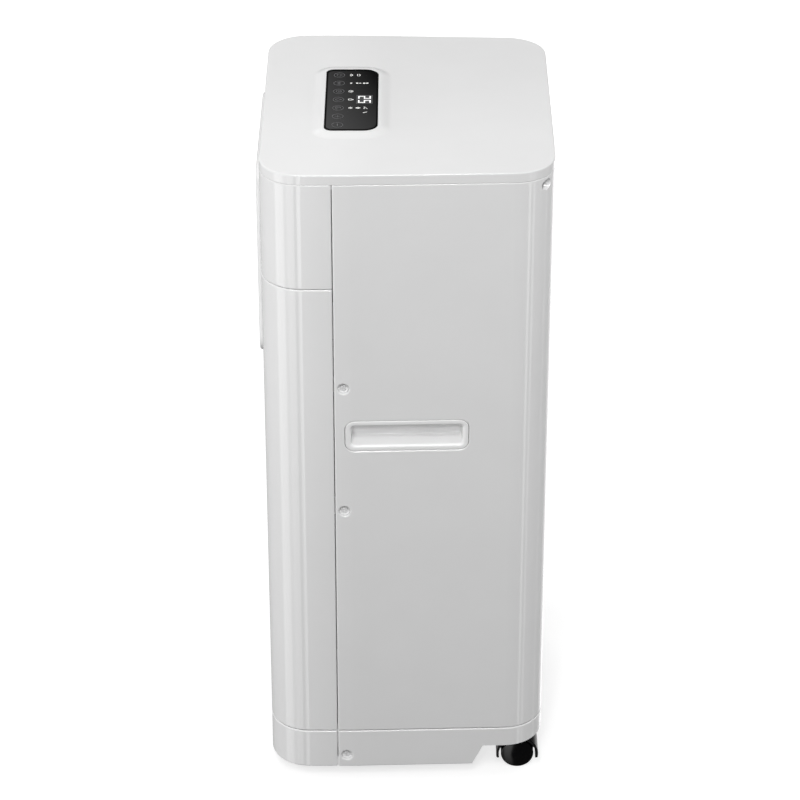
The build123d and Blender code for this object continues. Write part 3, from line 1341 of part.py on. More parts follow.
def make_filter():
    """Washable net in a ribbed frame, clipped to the back of the grille."""
    y1 = REAR_Y - INTAKE_DEPTH
    y0 = y1 - FILTER_DEPTH
    inset = INTAKE_GAP + FILTER_INSET
    half = INTAKE_WIDTH / 2 - inset
    tall = INTAKE_HEIGHT / 2 - inset
    z0 = INTAKE_Z - tall
    z1 = INTAKE_Z + tall
    edge = FILTER_BORDER
    frame = front_rect(2 * half, 2 * tall, INTAKE_CORNER - inset, INTAKE_Z, y0, y1)
    frame = frame - block(edge - half, half - edge, y0 - 1, y1 + 1, z0 + edge, z1 - edge)
    rib = FILTER_RIB / 2
    pitch = 2 * (half - edge) / (FILTER_RIBS + 1)
    for i in range(FILTER_RIBS):
        x = edge - half + pitch * (i + 1)
        frame = frame + block(x - rib, x + rib, y0, y1, z0 + edge / 2, z1 - edge / 2)
    net = edge - FILTER_NET_LAP
    middle = (y0 + y1) / 2
    sheet = FILTER_SHEET / 2
    return frame + block(net - half, half - net, middle - sheet, middle + sheet, z0 + net, z1 - net)


nodes = {
    "top_cover": top_cover,
    "control_glass": control_glass,
    "control_board": control_board,
    "readout_module": readout_module,
    "front_upper_shell": front_upper_shell,
    "front_lower_shell": front_lower_shell,
    "rear_shell": rear_shell,
    "base_tray": base_tray,
    "front_skirt": front_skirt,
    "grip_cup_right": grip_cup_right,
    "grip_cup_left": grip_cup_left,
    "side_screws": make_side_screws(),
    "rear_screws": make_rear_screws(),
    "outlet_frame": outlet_frame,
    "outlet_guard": make_outlet_guard(),
    "louvre_tie_bar": make_tie_bar(),
    "swing_motor": make_swing_motor(),
    "fan_bulkhead": make_bulkhead(),
    "motor_spider": make_spider(),
    "fan_motor": make_fan_motor(),
    "fan_shaft": fan_shaft,
    "fan_wheel": make_fan_wheel(),
    "condenser_fins": fin_pack(COND_Y),
    "condenser_bends": coil_bends(COND_Y, 1),
    "evaporator_fins": fin_pack(EVAP_Y),
    "evaporator_bends": coil_bends(EVAP_Y, -1),
    "capillary": make_capillary(),
    "mid_deck": make_deck(),
    "drip_tray": make_drip_tray(),
    "drain_hose": make_drain_hose(),
    "drain_fitting": make_drain_fitting(),
    "drain_plug": make_drain_plug(),
    "cord_gland": make_cord_gland(),
    "compressor": make_compressor(),
    "compressor_grommets": make_grommets(),
    "compressor_studs": make_studs(),
    "accumulator": make_accumulator(),
    "discharge_pipe": make_discharge_pipe(),
    "suction_pipe": make_suction_pipe(),
    "bay_wall": make_bay_wall(),
    "power_box": make_power_box(),
    "water_tank": make_water_tank(),
    "tank_bail": make_bail(),
    "tank_float": make_float(),
    "intake_grille": make_intake_grille(),
    "intake_filter": make_filter(),
}
for index in range(BLADE_COUNT):
    nodes[f"louvre_blade_{index + 1}"] = louvre_blade(index)
for name, (x, y) in CASTER_SPOTS.items():
    nodes[f"caster_hood_{name}"] = caster_hood(x, y)
    nodes[f"caster_wheels_{name}"] = caster_wheels(x, y)

os.makedirs("parts", exist_ok=True)
for name, piece in nodes.items():
    export_step(piece, f"parts/{name}.step")
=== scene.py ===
import math

import bmesh
import bpy
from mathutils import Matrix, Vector


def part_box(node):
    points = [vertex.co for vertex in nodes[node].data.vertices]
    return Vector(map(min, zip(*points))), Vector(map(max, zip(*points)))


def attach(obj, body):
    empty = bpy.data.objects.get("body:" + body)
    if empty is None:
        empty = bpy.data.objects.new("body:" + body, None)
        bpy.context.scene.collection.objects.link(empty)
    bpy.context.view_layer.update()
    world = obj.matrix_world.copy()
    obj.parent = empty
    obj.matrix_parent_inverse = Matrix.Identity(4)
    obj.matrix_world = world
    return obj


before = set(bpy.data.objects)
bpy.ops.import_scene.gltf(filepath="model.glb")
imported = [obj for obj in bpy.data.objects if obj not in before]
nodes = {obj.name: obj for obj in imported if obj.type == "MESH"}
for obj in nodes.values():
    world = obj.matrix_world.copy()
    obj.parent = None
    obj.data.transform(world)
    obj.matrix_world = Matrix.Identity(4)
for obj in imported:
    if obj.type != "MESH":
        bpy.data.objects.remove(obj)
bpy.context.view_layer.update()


# Base tray and front skirt
# Two mouldings in white ABS that carry everything else. The tray has the caster sockets under it and
# the skirt closes it at the front, held by a screw on each side.
MM = 0.001


def linear(colour):
    """The linear colour of an sRGB hex value."""
    parts = [int(colour[i : i + 2], 16) / 255 for i in (1, 3, 5)]
    return [p / 12.92 if p <= 0.04045 else ((p + 0.055) / 1.055) ** 2.4 for p in parts] + [1.0]


def add(tree, kind, inputs=None, into=None, stops=(), **settings):
    """A new node with its settings. Its sockets take values or other nodes' outputs, its first output can
    lead into a socket, and a colour ramp takes stops: pairs of a position and a hex or linear colour."""
    node = tree.nodes.new(kind)
    for name, value in settings.items():
        setattr(node, name, value)
    for name, value in (inputs or {}).items():
        if isinstance(value, bpy.types.NodeSocket):
            tree.links.new(value, node.inputs[name])
        else:
            node.inputs[name].default_value = value
    while stops and len(node.color_ramp.elements) < len(stops):
        node.color_ramp.elements.new(1.0)
    for i, (position, colour) in enumerate(stops):
        node.color_ramp.elements[i].position = position
        node.color_ramp.elements[i].color = linear(colour) if isinstance(colour, str) else colour
    if into is not None:
        tree.links.new(node.outputs[0], into)
    return node


def start(name, **values):
    """A new material: its node tree, its shader with plain values set, and the place in metres."""
    material = bpy.data.materials.new(name)
    material.use_nodes = True
    tree = material.node_tree
    shader = tree.nodes["Principled BSDF"]
    for socket, value in values.items():
        shader.inputs[socket.replace("_", " ")].default_value = value
    return material, tree, shader, add(tree, "ShaderNodeTexCoord").outputs["Object"]


def moulded_plastic(name, dark, light, roughness):
    """ABS or polypropylene as it leaves the mould: a very fine grain and hardly any change of tone.

    The real grain is about 0.1 mm; it is drawn at 0.7 mm so that it shows at all."""
    material, tree, shader, place = start(name, Roughness=roughness, IOR=1.5)
    flow = add(tree, "ShaderNodeTexNoise", {"Vector": place, "Scale": 1 / (60 * MM), "Detail": 3})
    add(
        tree, "ShaderNodeValToRGB", {"Fac": flow.outputs["Fac"]}, shader.inputs["Base Color"],
        stops=((0.3, dark), (0.7, light)),
    )
    grain = add(tree, "ShaderNodeTexNoise", {"Vector": place, "Scale": 1 / (0.7 * MM), "Detail": 2})
    add(
        tree, "ShaderNodeBump",
        {"Height": grain.outputs["Fac"], "Strength": 0.03, "Distance": 0.03 * MM},
        shader.inputs["Normal"],
    )
    return material


def dress(material, *names):
    """Gives CAD nodes a material."""
    for name in names:
        nodes[name].data.materials.clear()
        nodes[name].data.materials.append(material)


# Polished: the upright edges mirror the room in clear bands.
white_abs = moulded_plastic("white_abs_moulded", "#F0F0F0", "#F2F2F2", 0.06)
dress(white_abs, "base_tray", "front_skirt")


# Casters
# Four swivel casters in black glass-filled nylon: a hood with its stem, and two wheels on a steel pin.
# They are moulded, so their faces are smooth and a little glossy.
CASTERS = ("front_left", "front_right", "rear_left", "rear_right")


def glass_filled(name, dark, light, roughness):
    """Dark glass-filled nylon or polypropylene: smooth from the mould, with a faint cloud where the fibres
    come to the surface."""
    material, tree, shader, place = start(name, Roughness=roughness, IOR=1.53, Specular_IOR_Level=0.15)
    cloud = add(tree, "ShaderNodeTexNoise", {"Vector": place, "Scale": 1 / (6 * MM), "Detail": 4})
    add(
        tree, "ShaderNodeValToRGB", {"Fac": cloud.outputs["Fac"]}, shader.inputs["Base Color"],
        stops=((0.35, dark), (0.7, light)),
    )
    add(
        tree, "ShaderNodeBump",
        {"Height": cloud.outputs["Fac"], "Strength": 0.1, "Distance": 0.1 * MM},
        shader.inputs["Normal"],
    )
    return material


# Satin hoods, and wheels from a polished mould.
caster_nylon = glass_filled("black_nylon_moulded", "#040405", "#080809", 0.36)
wheel_nylon = glass_filled("wheel_nylon_polished", "#040405", "#070708", 0.1)
for spot in CASTERS:
    dress(caster_nylon, f"caster_hood_{spot}")
    dress(wheel_nylon, f"caster_wheels_{spot}")


# Compressor bay
# A welded steel can in black enamel on three rubber feet, its suction bottle and copper pipes, a
# galvanised bay wall behind it and a plastic box for the power electronics.
def sprayed_enamel(name, dark, light, roughness):
    """Sprayed enamel on steel: one even colour with a faint orange peel about 2 mm across."""
    material, tree, shader, place = start(name, Roughness=roughness, IOR=1.5)
    cloud = add(tree, "ShaderNodeTexNoise", {"Vector": place, "Scale": 1 / (30 * MM), "Detail": 3})
    add(
        tree, "ShaderNodeValToRGB", {"Fac": cloud.outputs["Fac"]}, shader.inputs["Base Color"],
        stops=((0.3, dark), (0.7, light)),
    )
    peel = add(tree, "ShaderNodeTexNoise", {"Vector": place, "Scale": 1 / (2 * MM)})
    add(
        tree, "ShaderNodeBump",
        {"Height": peel.outputs["Fac"], "Strength": 0.3, "Distance": 0.08 * MM},
        shader.inputs["Normal"],
    )
    return material


def drawn_copper():
    """Drawn copper tube: pink-brown metal, darker and duller where it has been handled and heated."""
    material, tree, shader, place = start("drawn_copper", Metallic=1.0)
    stain = add(tree, "ShaderNodeTexNoise", {"Vector": place, "Scale": 1 / (20 * MM), "Detail": 5})
    add(
        tree, "ShaderNodeValToRGB", {"Fac": stain.outputs["Fac"]}, shader.inputs["Base Color"],
        stops=((0.3, "#8A5138"), (0.55, "#B9774F"), (0.75, "#C98C66")),
    )
    add(
        tree, "ShaderNodeMapRange", {"Value": stain.outputs["Fac"], "To Min": 0.42, "To Max": 0.24},
        shader.inputs["Roughness"],
    )
    return material


def galvanised_steel():
    """Hot-dip galvanised sheet: grey metal with a spangle of crystals about 8 mm across."""
    material, tree, shader, place = start("galvanised_steel", Metallic=1.0)
    spangle = add(tree, "ShaderNodeTexVoronoi", {"Vector": place, "Scale": 1 / (8 * MM)})
    add(
        tree, "ShaderNodeValToRGB", {"Fac": spangle.outputs["Color"]}, shader.inputs["Base Color"],
        stops=((0.2, "#8E9295"), (0.8, "#B4B8BA")),
    )
    add(
        tree, "ShaderNodeMapRange", {"Value": spangle.outputs["Color"], "To Min": 0.34, "To Max": 0.5},
        shader.inputs["Roughness"],
    )
    return material


def vulcanised_rubber():
    """Black rubber: dull, with a dusty bloom in patches of a few millimetres."""
    material, tree, shader, place = start("black_rubber", Roughness=0.78, IOR=1.52)
    bloom = add(tree, "ShaderNodeTexNoise", {"Vector": place, "Scale": 1 / (4 * MM), "Detail": 4})
    add(
        tree, "ShaderNodeValToRGB", {"Fac": bloom.outputs["Fac"]}, shader.inputs["Base Color"],
        stops=((0.35, "#131313"), (0.75, "#222221")),
    )
    return material


def zinc_plated_steel():
    """Bright zinc plate on rolled and turned steel: pale bluish metal with fine dull specks."""
    material, tree, shader, place = start("zinc_plated_steel", Metallic=1.0)
    speck = add(tree, "ShaderNodeTexNoise", {"Vector": place, "Scale": 1 / (1.2 * MM), "Detail": 3})
    add(
        tree, "ShaderNodeValToRGB", {"Fac": speck.outputs["Fac"]}, shader.inputs["Base Color"],
        stops=((0.35, "#A9ADB0"), (0.7, "#C6CACC")),
    )
    add(
        tree, "ShaderNodeMapRange", {"Value": speck.outputs["Fac"], "To Min": 0.22, "To Max": 0.42},
        shader.inputs["Roughness"],
    )
    return material


black_enamel = sprayed_enamel("black_enamel", "#141415", "#1C1C1D", 0.34)
copper = drawn_copper()
galvanised = galvanised_steel()
rubber = vulcanised_rubber()
zinc = zinc_plated_steel()
# From an etched mould: satin, so that nothing is mirrored in it.
grey_pp = moulded_plastic("grey_polypropylene_moulded", "#8B8E90", "#929597", 0.48)
dress(black_enamel, "compressor", "accumulator")
dress(rubber, "compressor_grommets")
dress(zinc, "compressor_studs")
dress(copper, "discharge_pipe", "suction_pipe", "capillary")
dress(galvanised, "bay_wall", "mid_deck")
dress(grey_pp, "power_box")


# Drip tray and drain
# A grey polypropylene tray under the coils, a soft clear hose from its nozzle to the fitting in the
# back, the plug that closes the spout, and the gland where the mains lead would enter.
def plasticised_vinyl():
    """Clear soft vinyl hose, gone a little milky: light passes, shapes behind it don't."""
    material, tree, shader, place = start("clear_vinyl_hose", IOR=1.53, Transmission_Weight=0.55)
    haze = add(tree, "ShaderNodeTexNoise", {"Vector": place, "Scale": 1 / (12 * MM), "Detail": 2})
    add(
        tree, "ShaderNodeValToRGB", {"Fac": haze.outputs["Fac"]}, shader.inputs["Base Color"],
        stops=((0.3, "#D3D9D8"), (0.7, "#E6EBEA")),
    )
    add(
        tree, "ShaderNodeMapRange", {"Value": haze.outputs["Fac"], "To Min": 0.25, "To Max": 0.45},
        shader.inputs["Roughness"],
    )
    return material


dress(grey_pp, "drip_tray", "drain_fitting")
dress(plasticised_vinyl(), "drain_hose")
dress(rubber, "drain_plug", "cord_gland")


# Evaporator and condenser
# Stacks of pressed aluminium fins on copper tubes, brazed at the bends. The fins are cut sharp and
# stand 1.6 mm apart; the pattern draws them at 2 mm between the coarser ribs of the solid, with
# painted shade in the gaps between them.
WAVE_BANDS = 20 / (2 * math.pi)  # to the metre, as a wave texture draws them at a scale of 1


def fin_foil():
    """Bare aluminium foil on edge: close bright lines of metal with painted shade between them."""
    material, tree, shader, place = start("aluminium_fin_foil", Metallic=1.0, Roughness=0.38)
    fins = add(
        tree, "ShaderNodeTexWave",
        {"Vector": place, "Scale": 1 / (2 * MM) / WAVE_BANDS, "Distortion": 0.6, "Detail": 1},
        bands_direction="X",
    )
    # The dark stop is painted shade in the gaps between the fins; the light one is the metal.
    add(
        tree, "ShaderNodeValToRGB", {"Fac": fins.outputs["Fac"]}, shader.inputs["Base Color"],
        stops=((0.25, "#5C6063"), (0.7, "#C5C9CB")),
    )
    add(
        tree, "ShaderNodeBump", {"Height": fins.outputs["Fac"], "Strength": 0.5, "Distance": 0.5 * MM},
        shader.inputs["Normal"],
    )
    return material


dress(fin_foil(), "condenser_fins", "evaporator_fins")
dress(copper, "condenser_bends", "evaporator_bends")


# Fan
# A five-bladed wheel in dark glass-filled polypropylene on the motor's shaft, in the round orifice of
# a grey bulkhead. The motor has a black enamelled steel can on a four-armed spider.
fan_pp = glass_filled("fan_polypropylene_moulded", "#2A2C2E", "#343638", 0.42)
dress(grey_pp, "fan_bulkhead", "motor_spider")
dress(black_enamel, "fan_motor")
dress(zinc, "fan_shaft")
dress(fan_pp, "fan_wheel")


# Shells and grip cups
# The upper and lower front shells and the one-piece rear shell, in the same white ABS as the base,
# with edges eased at every seam. The grip cups are pressed into the sides from outside.
dress(white_abs, "front_upper_shell", "front_lower_shell", "rear_shell")
# A whiter copy of the shells' ABS, as painted light that brightens the deep grips; less polished than the
# shells.
cup_abs_painted_light = moulded_plastic("white_abs_cup_painted_light", "#F9F9F9", "#FBFBFB", 0.12)
dress(cup_abs_painted_light, "grip_cup_right", "grip_cup_left")


# Outlet
# A framed louvre on the front: five white blades on pins, tied by a bar so that they turn together,
# a small geared motor on the middle one, and a guard of upright bars behind them.
BLADES = 5
# Satin, so that the blades shade softly from edge to edge.
blade_abs = moulded_plastic("white_abs_blade", "#ECECEB", "#EFEFEE", 0.3)
dress(white_abs, "outlet_frame")
dress(blade_abs, "louvre_tie_bar", *[f"louvre_blade_{i}" for i in range(1, BLADES + 1)])
dress(grey_pp, "outlet_guard")
dress(fan_pp, "swing_motor")


# Intake grille and filter
# A slatted white panel that pulls off the back, and behind it a washable net of dark nylon thread
# in a ribbed frame.
def woven_net():
    """Plain net of black thread at 1 mm, its openings painted near black as shade; drawn at 2 mm, the finest
    that the picture can show.
    """
    material, tree, shader, place = start("nylon_filter_net", Roughness=0.6, IOR=1.53)
    turned = add(tree, "ShaderNodeMapping", {"Vector": place, "Rotation": (math.pi / 2, 0, 0)})
    net = add(
        tree, "ShaderNodeTexBrick",
        {
            "Vector": turned.outputs["Vector"], "Scale": 1.0, "Brick Width": 2 * MM, "Row Height": 2 * MM,
            "Mortar Size": 0.5 * MM, "Mortar Smooth": 0.2,
            # The bricks are the openings, painted near black as shade; the mortar is the thread.
            "Color1": linear("#191A1B"), "Color2": linear("#1E1F20"), "Mortar": linear("#3A3C3E"),
        },
        shader.inputs["Base Color"], offset=0.0,
    )
    add(
        tree, "ShaderNodeBump", {"Height": net.outputs["Fac"], "Strength": 0.6, "Distance": 0.3 * MM},
        shader.inputs["Normal"],
    )
    return material


dress(white_abs, "intake_grille")
dress(woven_net(), "intake_filter")


# Water tank
# A blow-moulded tank in natural polypropylene that slides in from the back, with a pull recess in its
# face, a swing-up handle across its mouth and a sealed foam float on a hinge inside.
def natural_polypropylene():
    """Uncoloured polypropylene: milky, with light carried a few millimetres into it."""
    material, tree, shader, place = start(
        "natural_polypropylene", Roughness=0.4, IOR=1.49, Subsurface_Weight=0.3, Subsurface_Scale=4 * MM
    )
    flow = add(tree, "ShaderNodeTexNoise", {"Vector": place, "Scale": 1 / (50 * MM), "Detail": 3})
    add(
        tree, "ShaderNodeValToRGB", {"Fac": flow.outputs["Fac"]}, shader.inputs["Base Color"],
        stops=((0.3, "#E2E4E4"), (0.7, "#E6E8E8")),
    )
    add(
        tree, "ShaderNodeBump", {"Height": flow.outputs["Fac"], "Strength": 0.15, "Distance": 0.6 * MM},
        shader.inputs["Normal"],
    )
    return material


def foam_bead():
    """Moulded bead foam: white cells about 3 mm across with fine dark joints."""
    material, tree, shader, place = start("bead_foam", Roughness=0.85, IOR=1.3)
    beads = add(
        tree, "ShaderNodeTexVoronoi", {"Vector": place, "Scale": 1 / (3 * MM)}, feature="DISTANCE_TO_EDGE"
    )
    add(
        tree, "ShaderNodeValToRGB", {"Fac": beads.outputs["Distance"]}, shader.inputs["Base Color"],
        stops=((0.02, "#C9C9C5"), (0.12, "#EDEDEA")),
    )
    add(
        tree, "ShaderNodeBump",
        {"Height": beads.outputs["Distance"], "Strength": 0.5, "Distance": 0.5 * MM},
        shader.inputs["Normal"],
    )
    return material


dress(natural_polypropylene(), "water_tank", "tank_bail")
dress(foam_bead(), "tank_float")


# Screws
# Small pan-head screws with white-painted heads, sunk in round pockets along the upright seam and in
# the rear corners.
dress(sprayed_enamel("white_screw_paint", "#E6E6E6", "#EDEDED", 0.3), "side_screws", "rear_screws")


# Top cover
# One moulding that closes the casing, with a low mound round the control panel. It takes the same
# grain as the shells.
dress(white_abs, "top_cover")


# Control board and readout module
# A green glass-epoxy board on posts under the cover, and the light module that stands on it below
# the glass.
def printed_board():
    """Solder mask over copper tracks: dark green with slightly lighter lines 2.5 mm apart."""
    material, tree, shader, place = start("solder_mask_board", Roughness=0.35, IOR=1.55)
    add(
        tree, "ShaderNodeTexBrick",
        {
            "Vector": place, "Scale": 1.0, "Brick Width": 11 * MM, "Row Height": 2.5 * MM,
            "Mortar Size": 0.3 * MM,
            "Color1": linear("#12452B"), "Color2": linear("#164C30"), "Mortar": linear("#2A6B45"),
        },
        shader.inputs["Base Color"],
    )
    return material


def potted_epoxy():
    """Dark epoxy poured round the lights: glossy, with fine bubbles about 1.5 mm across."""
    material, tree, shader, place = start("potted_epoxy", Roughness=0.3, IOR=1.54)
    bubbles = add(tree, "ShaderNodeTexNoise", {"Vector": place, "Scale": 1 / (1.5 * MM), "Detail": 2})
    add(
        tree, "ShaderNodeValToRGB", {"Fac": bubbles.outputs["Fac"]}, shader.inputs["Base Color"],
        stops=((0.4, "#26282A"), (0.75, "#33363A")),
    )
    return material


dress(printed_board(), "control_board")
dress(potted_epoxy(), "readout_module")


# Control glass
# A plate of black glass with a ground bevel, painted behind and set just below the rim of the mound.
# The touch keys sense a finger through it.
def back_painted_glass():
    """Glass painted black behind: deep and glossy, with the faint veil of a wiped surface."""
    material, tree, shader, place = start("black_glass_back_painted", IOR=1.52)
    wipe = add(tree, "ShaderNodeTexNoise", {"Vector": place, "Scale": 1 / (25 * MM), "Detail": 4})
    add(
        tree, "ShaderNodeValToRGB", {"Fac": wipe.outputs["Fac"]}, shader.inputs["Base Color"],
        stops=((0.3, "#060607"), (0.75, "#0A0A0B")),
    )
    add(
        tree, "ShaderNodeMapRange", {"Value": wipe.outputs["Fac"], "To Min": 0.03, "To Max": 0.07},
        shader.inputs["Roughness"],
    )
    return material


dress(back_painted_glass(), "control_glass")
GLASS_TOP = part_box("control_glass")[1].z


# Glass seal
# A soft black gasket, cut from foam sheet, that lies on the ground bevel and closes the gap to the rim
# of the mound; its black is also painted shade and a painted dark reflection along the glass edge. It is
# wider at the two ends of the glass than along its sides, as painted shade for the rim's shadow there.
# Sizes are in millimetres.
PANEL_HALF = 72.75
PANEL_FRONT = -80.0
PANEL_REAR = -28.0
FRONT_CORNER = 8.0
REAR_CORNER = 14.0
CORNER_STEPS = 12
SEAL_INSET = 0.35
SEAL_WIDTH = 2.0
# The ends' extra width is painted shade: the rim's shadow and a dark reflection at the glass edge.
SEAL_ENDS_SHADE = 2.4
SEAL_CROWN = 0.25
# Sections from the outer foot over the crown to the inner foot: growth of the outline, and height.
SEAL_SECTION = (
    (-SEAL_INSET, -0.55), (-SEAL_INSET, 0.0), (-0.7, SEAL_CROWN * 0.6), (-SEAL_WIDTH / 2 - 0.2, SEAL_CROWN),
    (-SEAL_WIDTH + 0.1, SEAL_CROWN * 0.5), (-SEAL_WIDTH, 0.02), (-SEAL_WIDTH, -0.05), (-1.0, -0.45),
)


def panel_line(grow, height):
    """Outline of the glass in metres, small corners at the front and wide ones at the rear."""
    half = PANEL_HALF - SEAL_INSET + (grow + SEAL_INSET) * SEAL_ENDS_SHADE
    front = (PANEL_FRONT + FRONT_CORNER, FRONT_CORNER + grow)
    rear = (PANEL_REAR - REAR_CORNER, REAR_CORNER + grow)
    points = []
    for quarter, (side, (y, radius)) in enumerate(((1, front), (1, rear), (-1, rear), (-1, front))):
        for i in range(CORNER_STEPS + 1):
            turn = math.radians(90 * (quarter - 1 + i / CORNER_STEPS))
            x = side * (half - radius) + radius * math.cos(turn)
            points.append((x * MM, (y + radius * math.sin(turn)) * MM, height))
    return points


def put(name, data):
    """A new object in the scene."""
    piece = bpy.data.objects.new(name, data)
    bpy.context.scene.collection.objects.link(piece)
    return piece


def glass_seal_painted_shade(material):
    """A crowned ring of foam, closed underneath, whose black is partly painted shade at the glass edge."""
    lines = [panel_line(grow, GLASS_TOP + lift * MM) for grow, lift in SEAL_SECTION]
    count = len(lines[0])
    faces = []
    for i in range(len(lines)):
        for j in range(count):
            a, b = i * count, (i + 1) % len(lines) * count
            faces.append((a + j, b + j, b + (j + 1) % count, a + (j + 1) % count))
    data = bpy.data.meshes.new("glass_seal_painted_shade")
    data.from_pydata([p for line in lines for p in line], [], faces)
    data.polygons.foreach_set("use_smooth", [True] * len(faces))
    data.materials.append(material)
    piece = put("glass_seal_painted_shade", data)
    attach(piece, "casing")


def foamed_rubber():
    """Closed-cell black foam: it takes the light and gives hardly any back, and stands in as painted shade.
    """
    material, tree, shader, place = start("black_foam_seal_painted_shade", Roughness=0.9, Specular_IOR_Level=0.15)
    cells = add(tree, "ShaderNodeTexNoise", {"Vector": place, "Scale": 1 / (0.6 * MM), "Detail": 2})
    add(
        tree, "ShaderNodeValToRGB", {"Fac": cells.outputs["Fac"]}, shader.inputs["Base Color"],
        stops=((0.35, "#030303"), (0.7, "#070707")),
    )
    return material


glass_seal_painted_shade(foamed_rubber())


# Touch rings
# Seven rings with a plain sign in each, screen-printed on the glass in thin grey ink. They mark where
# it senses a finger. Places and the lines' widths are in millimetres.
INK = 0.06 * MM
RING_X = [-58.5 + 19.5 * i for i in range(7)]
RING_Y = -67.0
RING_RADIUS = 5.3
THIN = 0.42


def ribbon(mesh, points, width, closed, lift):
    """Flat line of even width through points in millimetres, mitred at its bends."""
    points = [Vector(p) for p in points]
    count = len(points)
    edges = []
    for i, p in enumerate(points):
        before = points[(i - 1) % count] if closed or i else None
        after = points[(i + 1) % count] if closed or i < count - 1 else None
        steps = [(p - before).normalized()] if before else []
        steps += [(after - p).normalized()] if after else []
        normals = [Vector((-s.y, s.x)) for s in steps]
        side = sum(normals, Vector((0, 0))).normalized()
        side *= width / 2 / max(0.4, side.dot(normals[0]))
        ends = (p - side, p + side)
        edges.append([mesh.verts.new((q.x * MM, q.y * MM, GLASS_TOP + lift)) for q in ends])
    pairs = list(zip(edges, edges[1:])) + ([(edges[-1], edges[0])] if closed else [])
    for (a, b), (c, d) in pairs:
        mesh.faces.new((a, c, d, b))


def arc(x, y, radius, first=0.0, last=360.0, step=15.0):
    """Points of an arc in millimetres, angles in degrees from +X."""
    count = max(2, int(abs(last - first) / step))
    turns = [math.radians(first + (last - first) * i / count) for i in range(count + 1)]
    points = [(x + radius * math.cos(t), y + radius * math.sin(t)) for t in turns]
    return points[:-1] if abs(last - first) == 360 else points


def print_marks(name, lines, material, lift=INK):
    """One printed layer on the glass from lines of (points, width, closed)."""
    mesh = bmesh.new()
    for points, width, closed in lines:
        ribbon(mesh, points, width, closed, lift)
    data = bpy.data.meshes.new(name)
    mesh.to_mesh(data)
    mesh.free()
    piece = put(name, data)
    thick = piece.modifiers.new("ink", "SOLIDIFY")
    thick.thickness = lift
    thick.offset = -1
    data.materials.append(material)
    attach(piece, "casing")


def screen_ink():
    """Grey ink on glass: thin, so the black shows through where the screen left less of it."""
    material, tree, shader, place = start("grey_screen_ink", Roughness=0.45, IOR=1.5)
    cover = add(tree, "ShaderNodeTexNoise", {"Vector": place, "Scale": 1 / (0.8 * MM), "Detail": 2})
    add(
        tree, "ShaderNodeValToRGB", {"Fac": cover.outputs["Fac"]}, shader.inputs["Base Color"],
        stops=((0.3, "#646466"), (0.7, "#767678")),
    )
    return material


y = RING_Y
touch_lines = [(arc(x, y, RING_RADIUS), THIN, True) for x in RING_X]
# On and off: an open ring with a bar.
x = RING_X[0]
touch_lines += [(arc(x, y, 2.4, 125, 415), THIN, False), ([(x, y + 0.6), (x, y + 3.0)], THIN, False)]
# Air: waves to both sides of a dot.
x = RING_X[1]
touch_lines += [(arc(x, y, 0.7), THIN, True)]
for first in (-45, 135):
    for radius in (1.7, 2.9):
        touch_lines += [(arc(x, y, radius, first, first + 90), THIN, False)]
# Timer: a clock face.
x = RING_X[2]
touch_lines += [(arc(x, y, 2.6), THIN, True)]
touch_lines += [([(x, y + 1.7), (x, y), (x + 1.2, y - 0.8)], THIN, False)]
# Drying: a drop.
x = RING_X[3]
touch_lines += [([(x, y + 3.1)] + arc(x, y - 0.7, 2.0, 150, 390), THIN, True)]
# Night: a moon.
x = RING_X[4]
touch_lines += [(arc(x, y, 2.7, 70, 330) + arc(x + 1.3, y + 0.8, 2.0, 290, 110), THIN, True)]
# More, and less.
x = RING_X[5]
touch_lines += [([(x - 2.4, y), (x + 2.4, y)], THIN, False)]
touch_lines += [([(x, y + 0.3), (x, y + 2.4)], THIN, False)]
touch_lines += [([(x, y - 0.3), (x, y - 2.4)], THIN, False)]
x = RING_X[6]
touch_lines += [([(x - 2.4, y), (x + 2.4, y)], THIN, False)]
print_marks("touch_rings", touch_lines, screen_ink())


# Readout
# Two lit digits in a dimly glowing window and small lit mode signs in front of it and beside it. They
# shine through clear and smoked places in the black paint. Sizes are in millimetres.
def lit_window(name, dark, light, strength):
    """Diffused white light behind a printed window: brightest in the middle of each chip's patch."""
    material, tree, shader, place = start(name, Roughness=0.3, Emission_Strength=strength)
    glow = add(tree, "ShaderNodeTexNoise", {"Vector": place, "Scale": 1 / (4 * MM), "Detail": 1})
    tone = add(
        tree, "ShaderNodeValToRGB", {"Fac": glow.outputs["Fac"]}, shader.inputs["Base Color"],
        stops=((0.3, dark), (0.7, light)),
    )
    tree.links.new(tone.outputs["Color"], shader.inputs["Emission Color"])
    return material


DIGIT_WIDTH = 6.2
DIGIT_HEIGHT = 12.3
DIGIT_STROKE = 1.25
DIGIT_PITCH = 9.6
SEGMENT_GAP = 0.15
READOUT_X = -0.4
READOUT_Y = -41.55
HAZE_WIDTH = 20.4
HAZE_FRONT = 2.0
HAZE_REAR = 1.9
SEGMENTS = {
    "top": ((-1, 1), (1, 1)), "middle": ((-1, 0), (1, 0)), "bottom": ((-1, -1), (1, -1)),
    "top_left": ((-1, 0), (-1, 1)), "top_right": ((1, 0), (1, 1)),
    "low_left": ((-1, -1), (-1, 0)), "low_right": ((1, -1), (1, 0)),
}
TWO = ("top", "top_right", "middle", "low_left", "bottom")
FIVE = ("top", "top_left", "middle", "low_right", "bottom")
half_width = (DIGIT_WIDTH - DIGIT_STROKE) / 2
half_height = (DIGIT_HEIGHT - DIGIT_STROKE) / 2
digit_lines = []
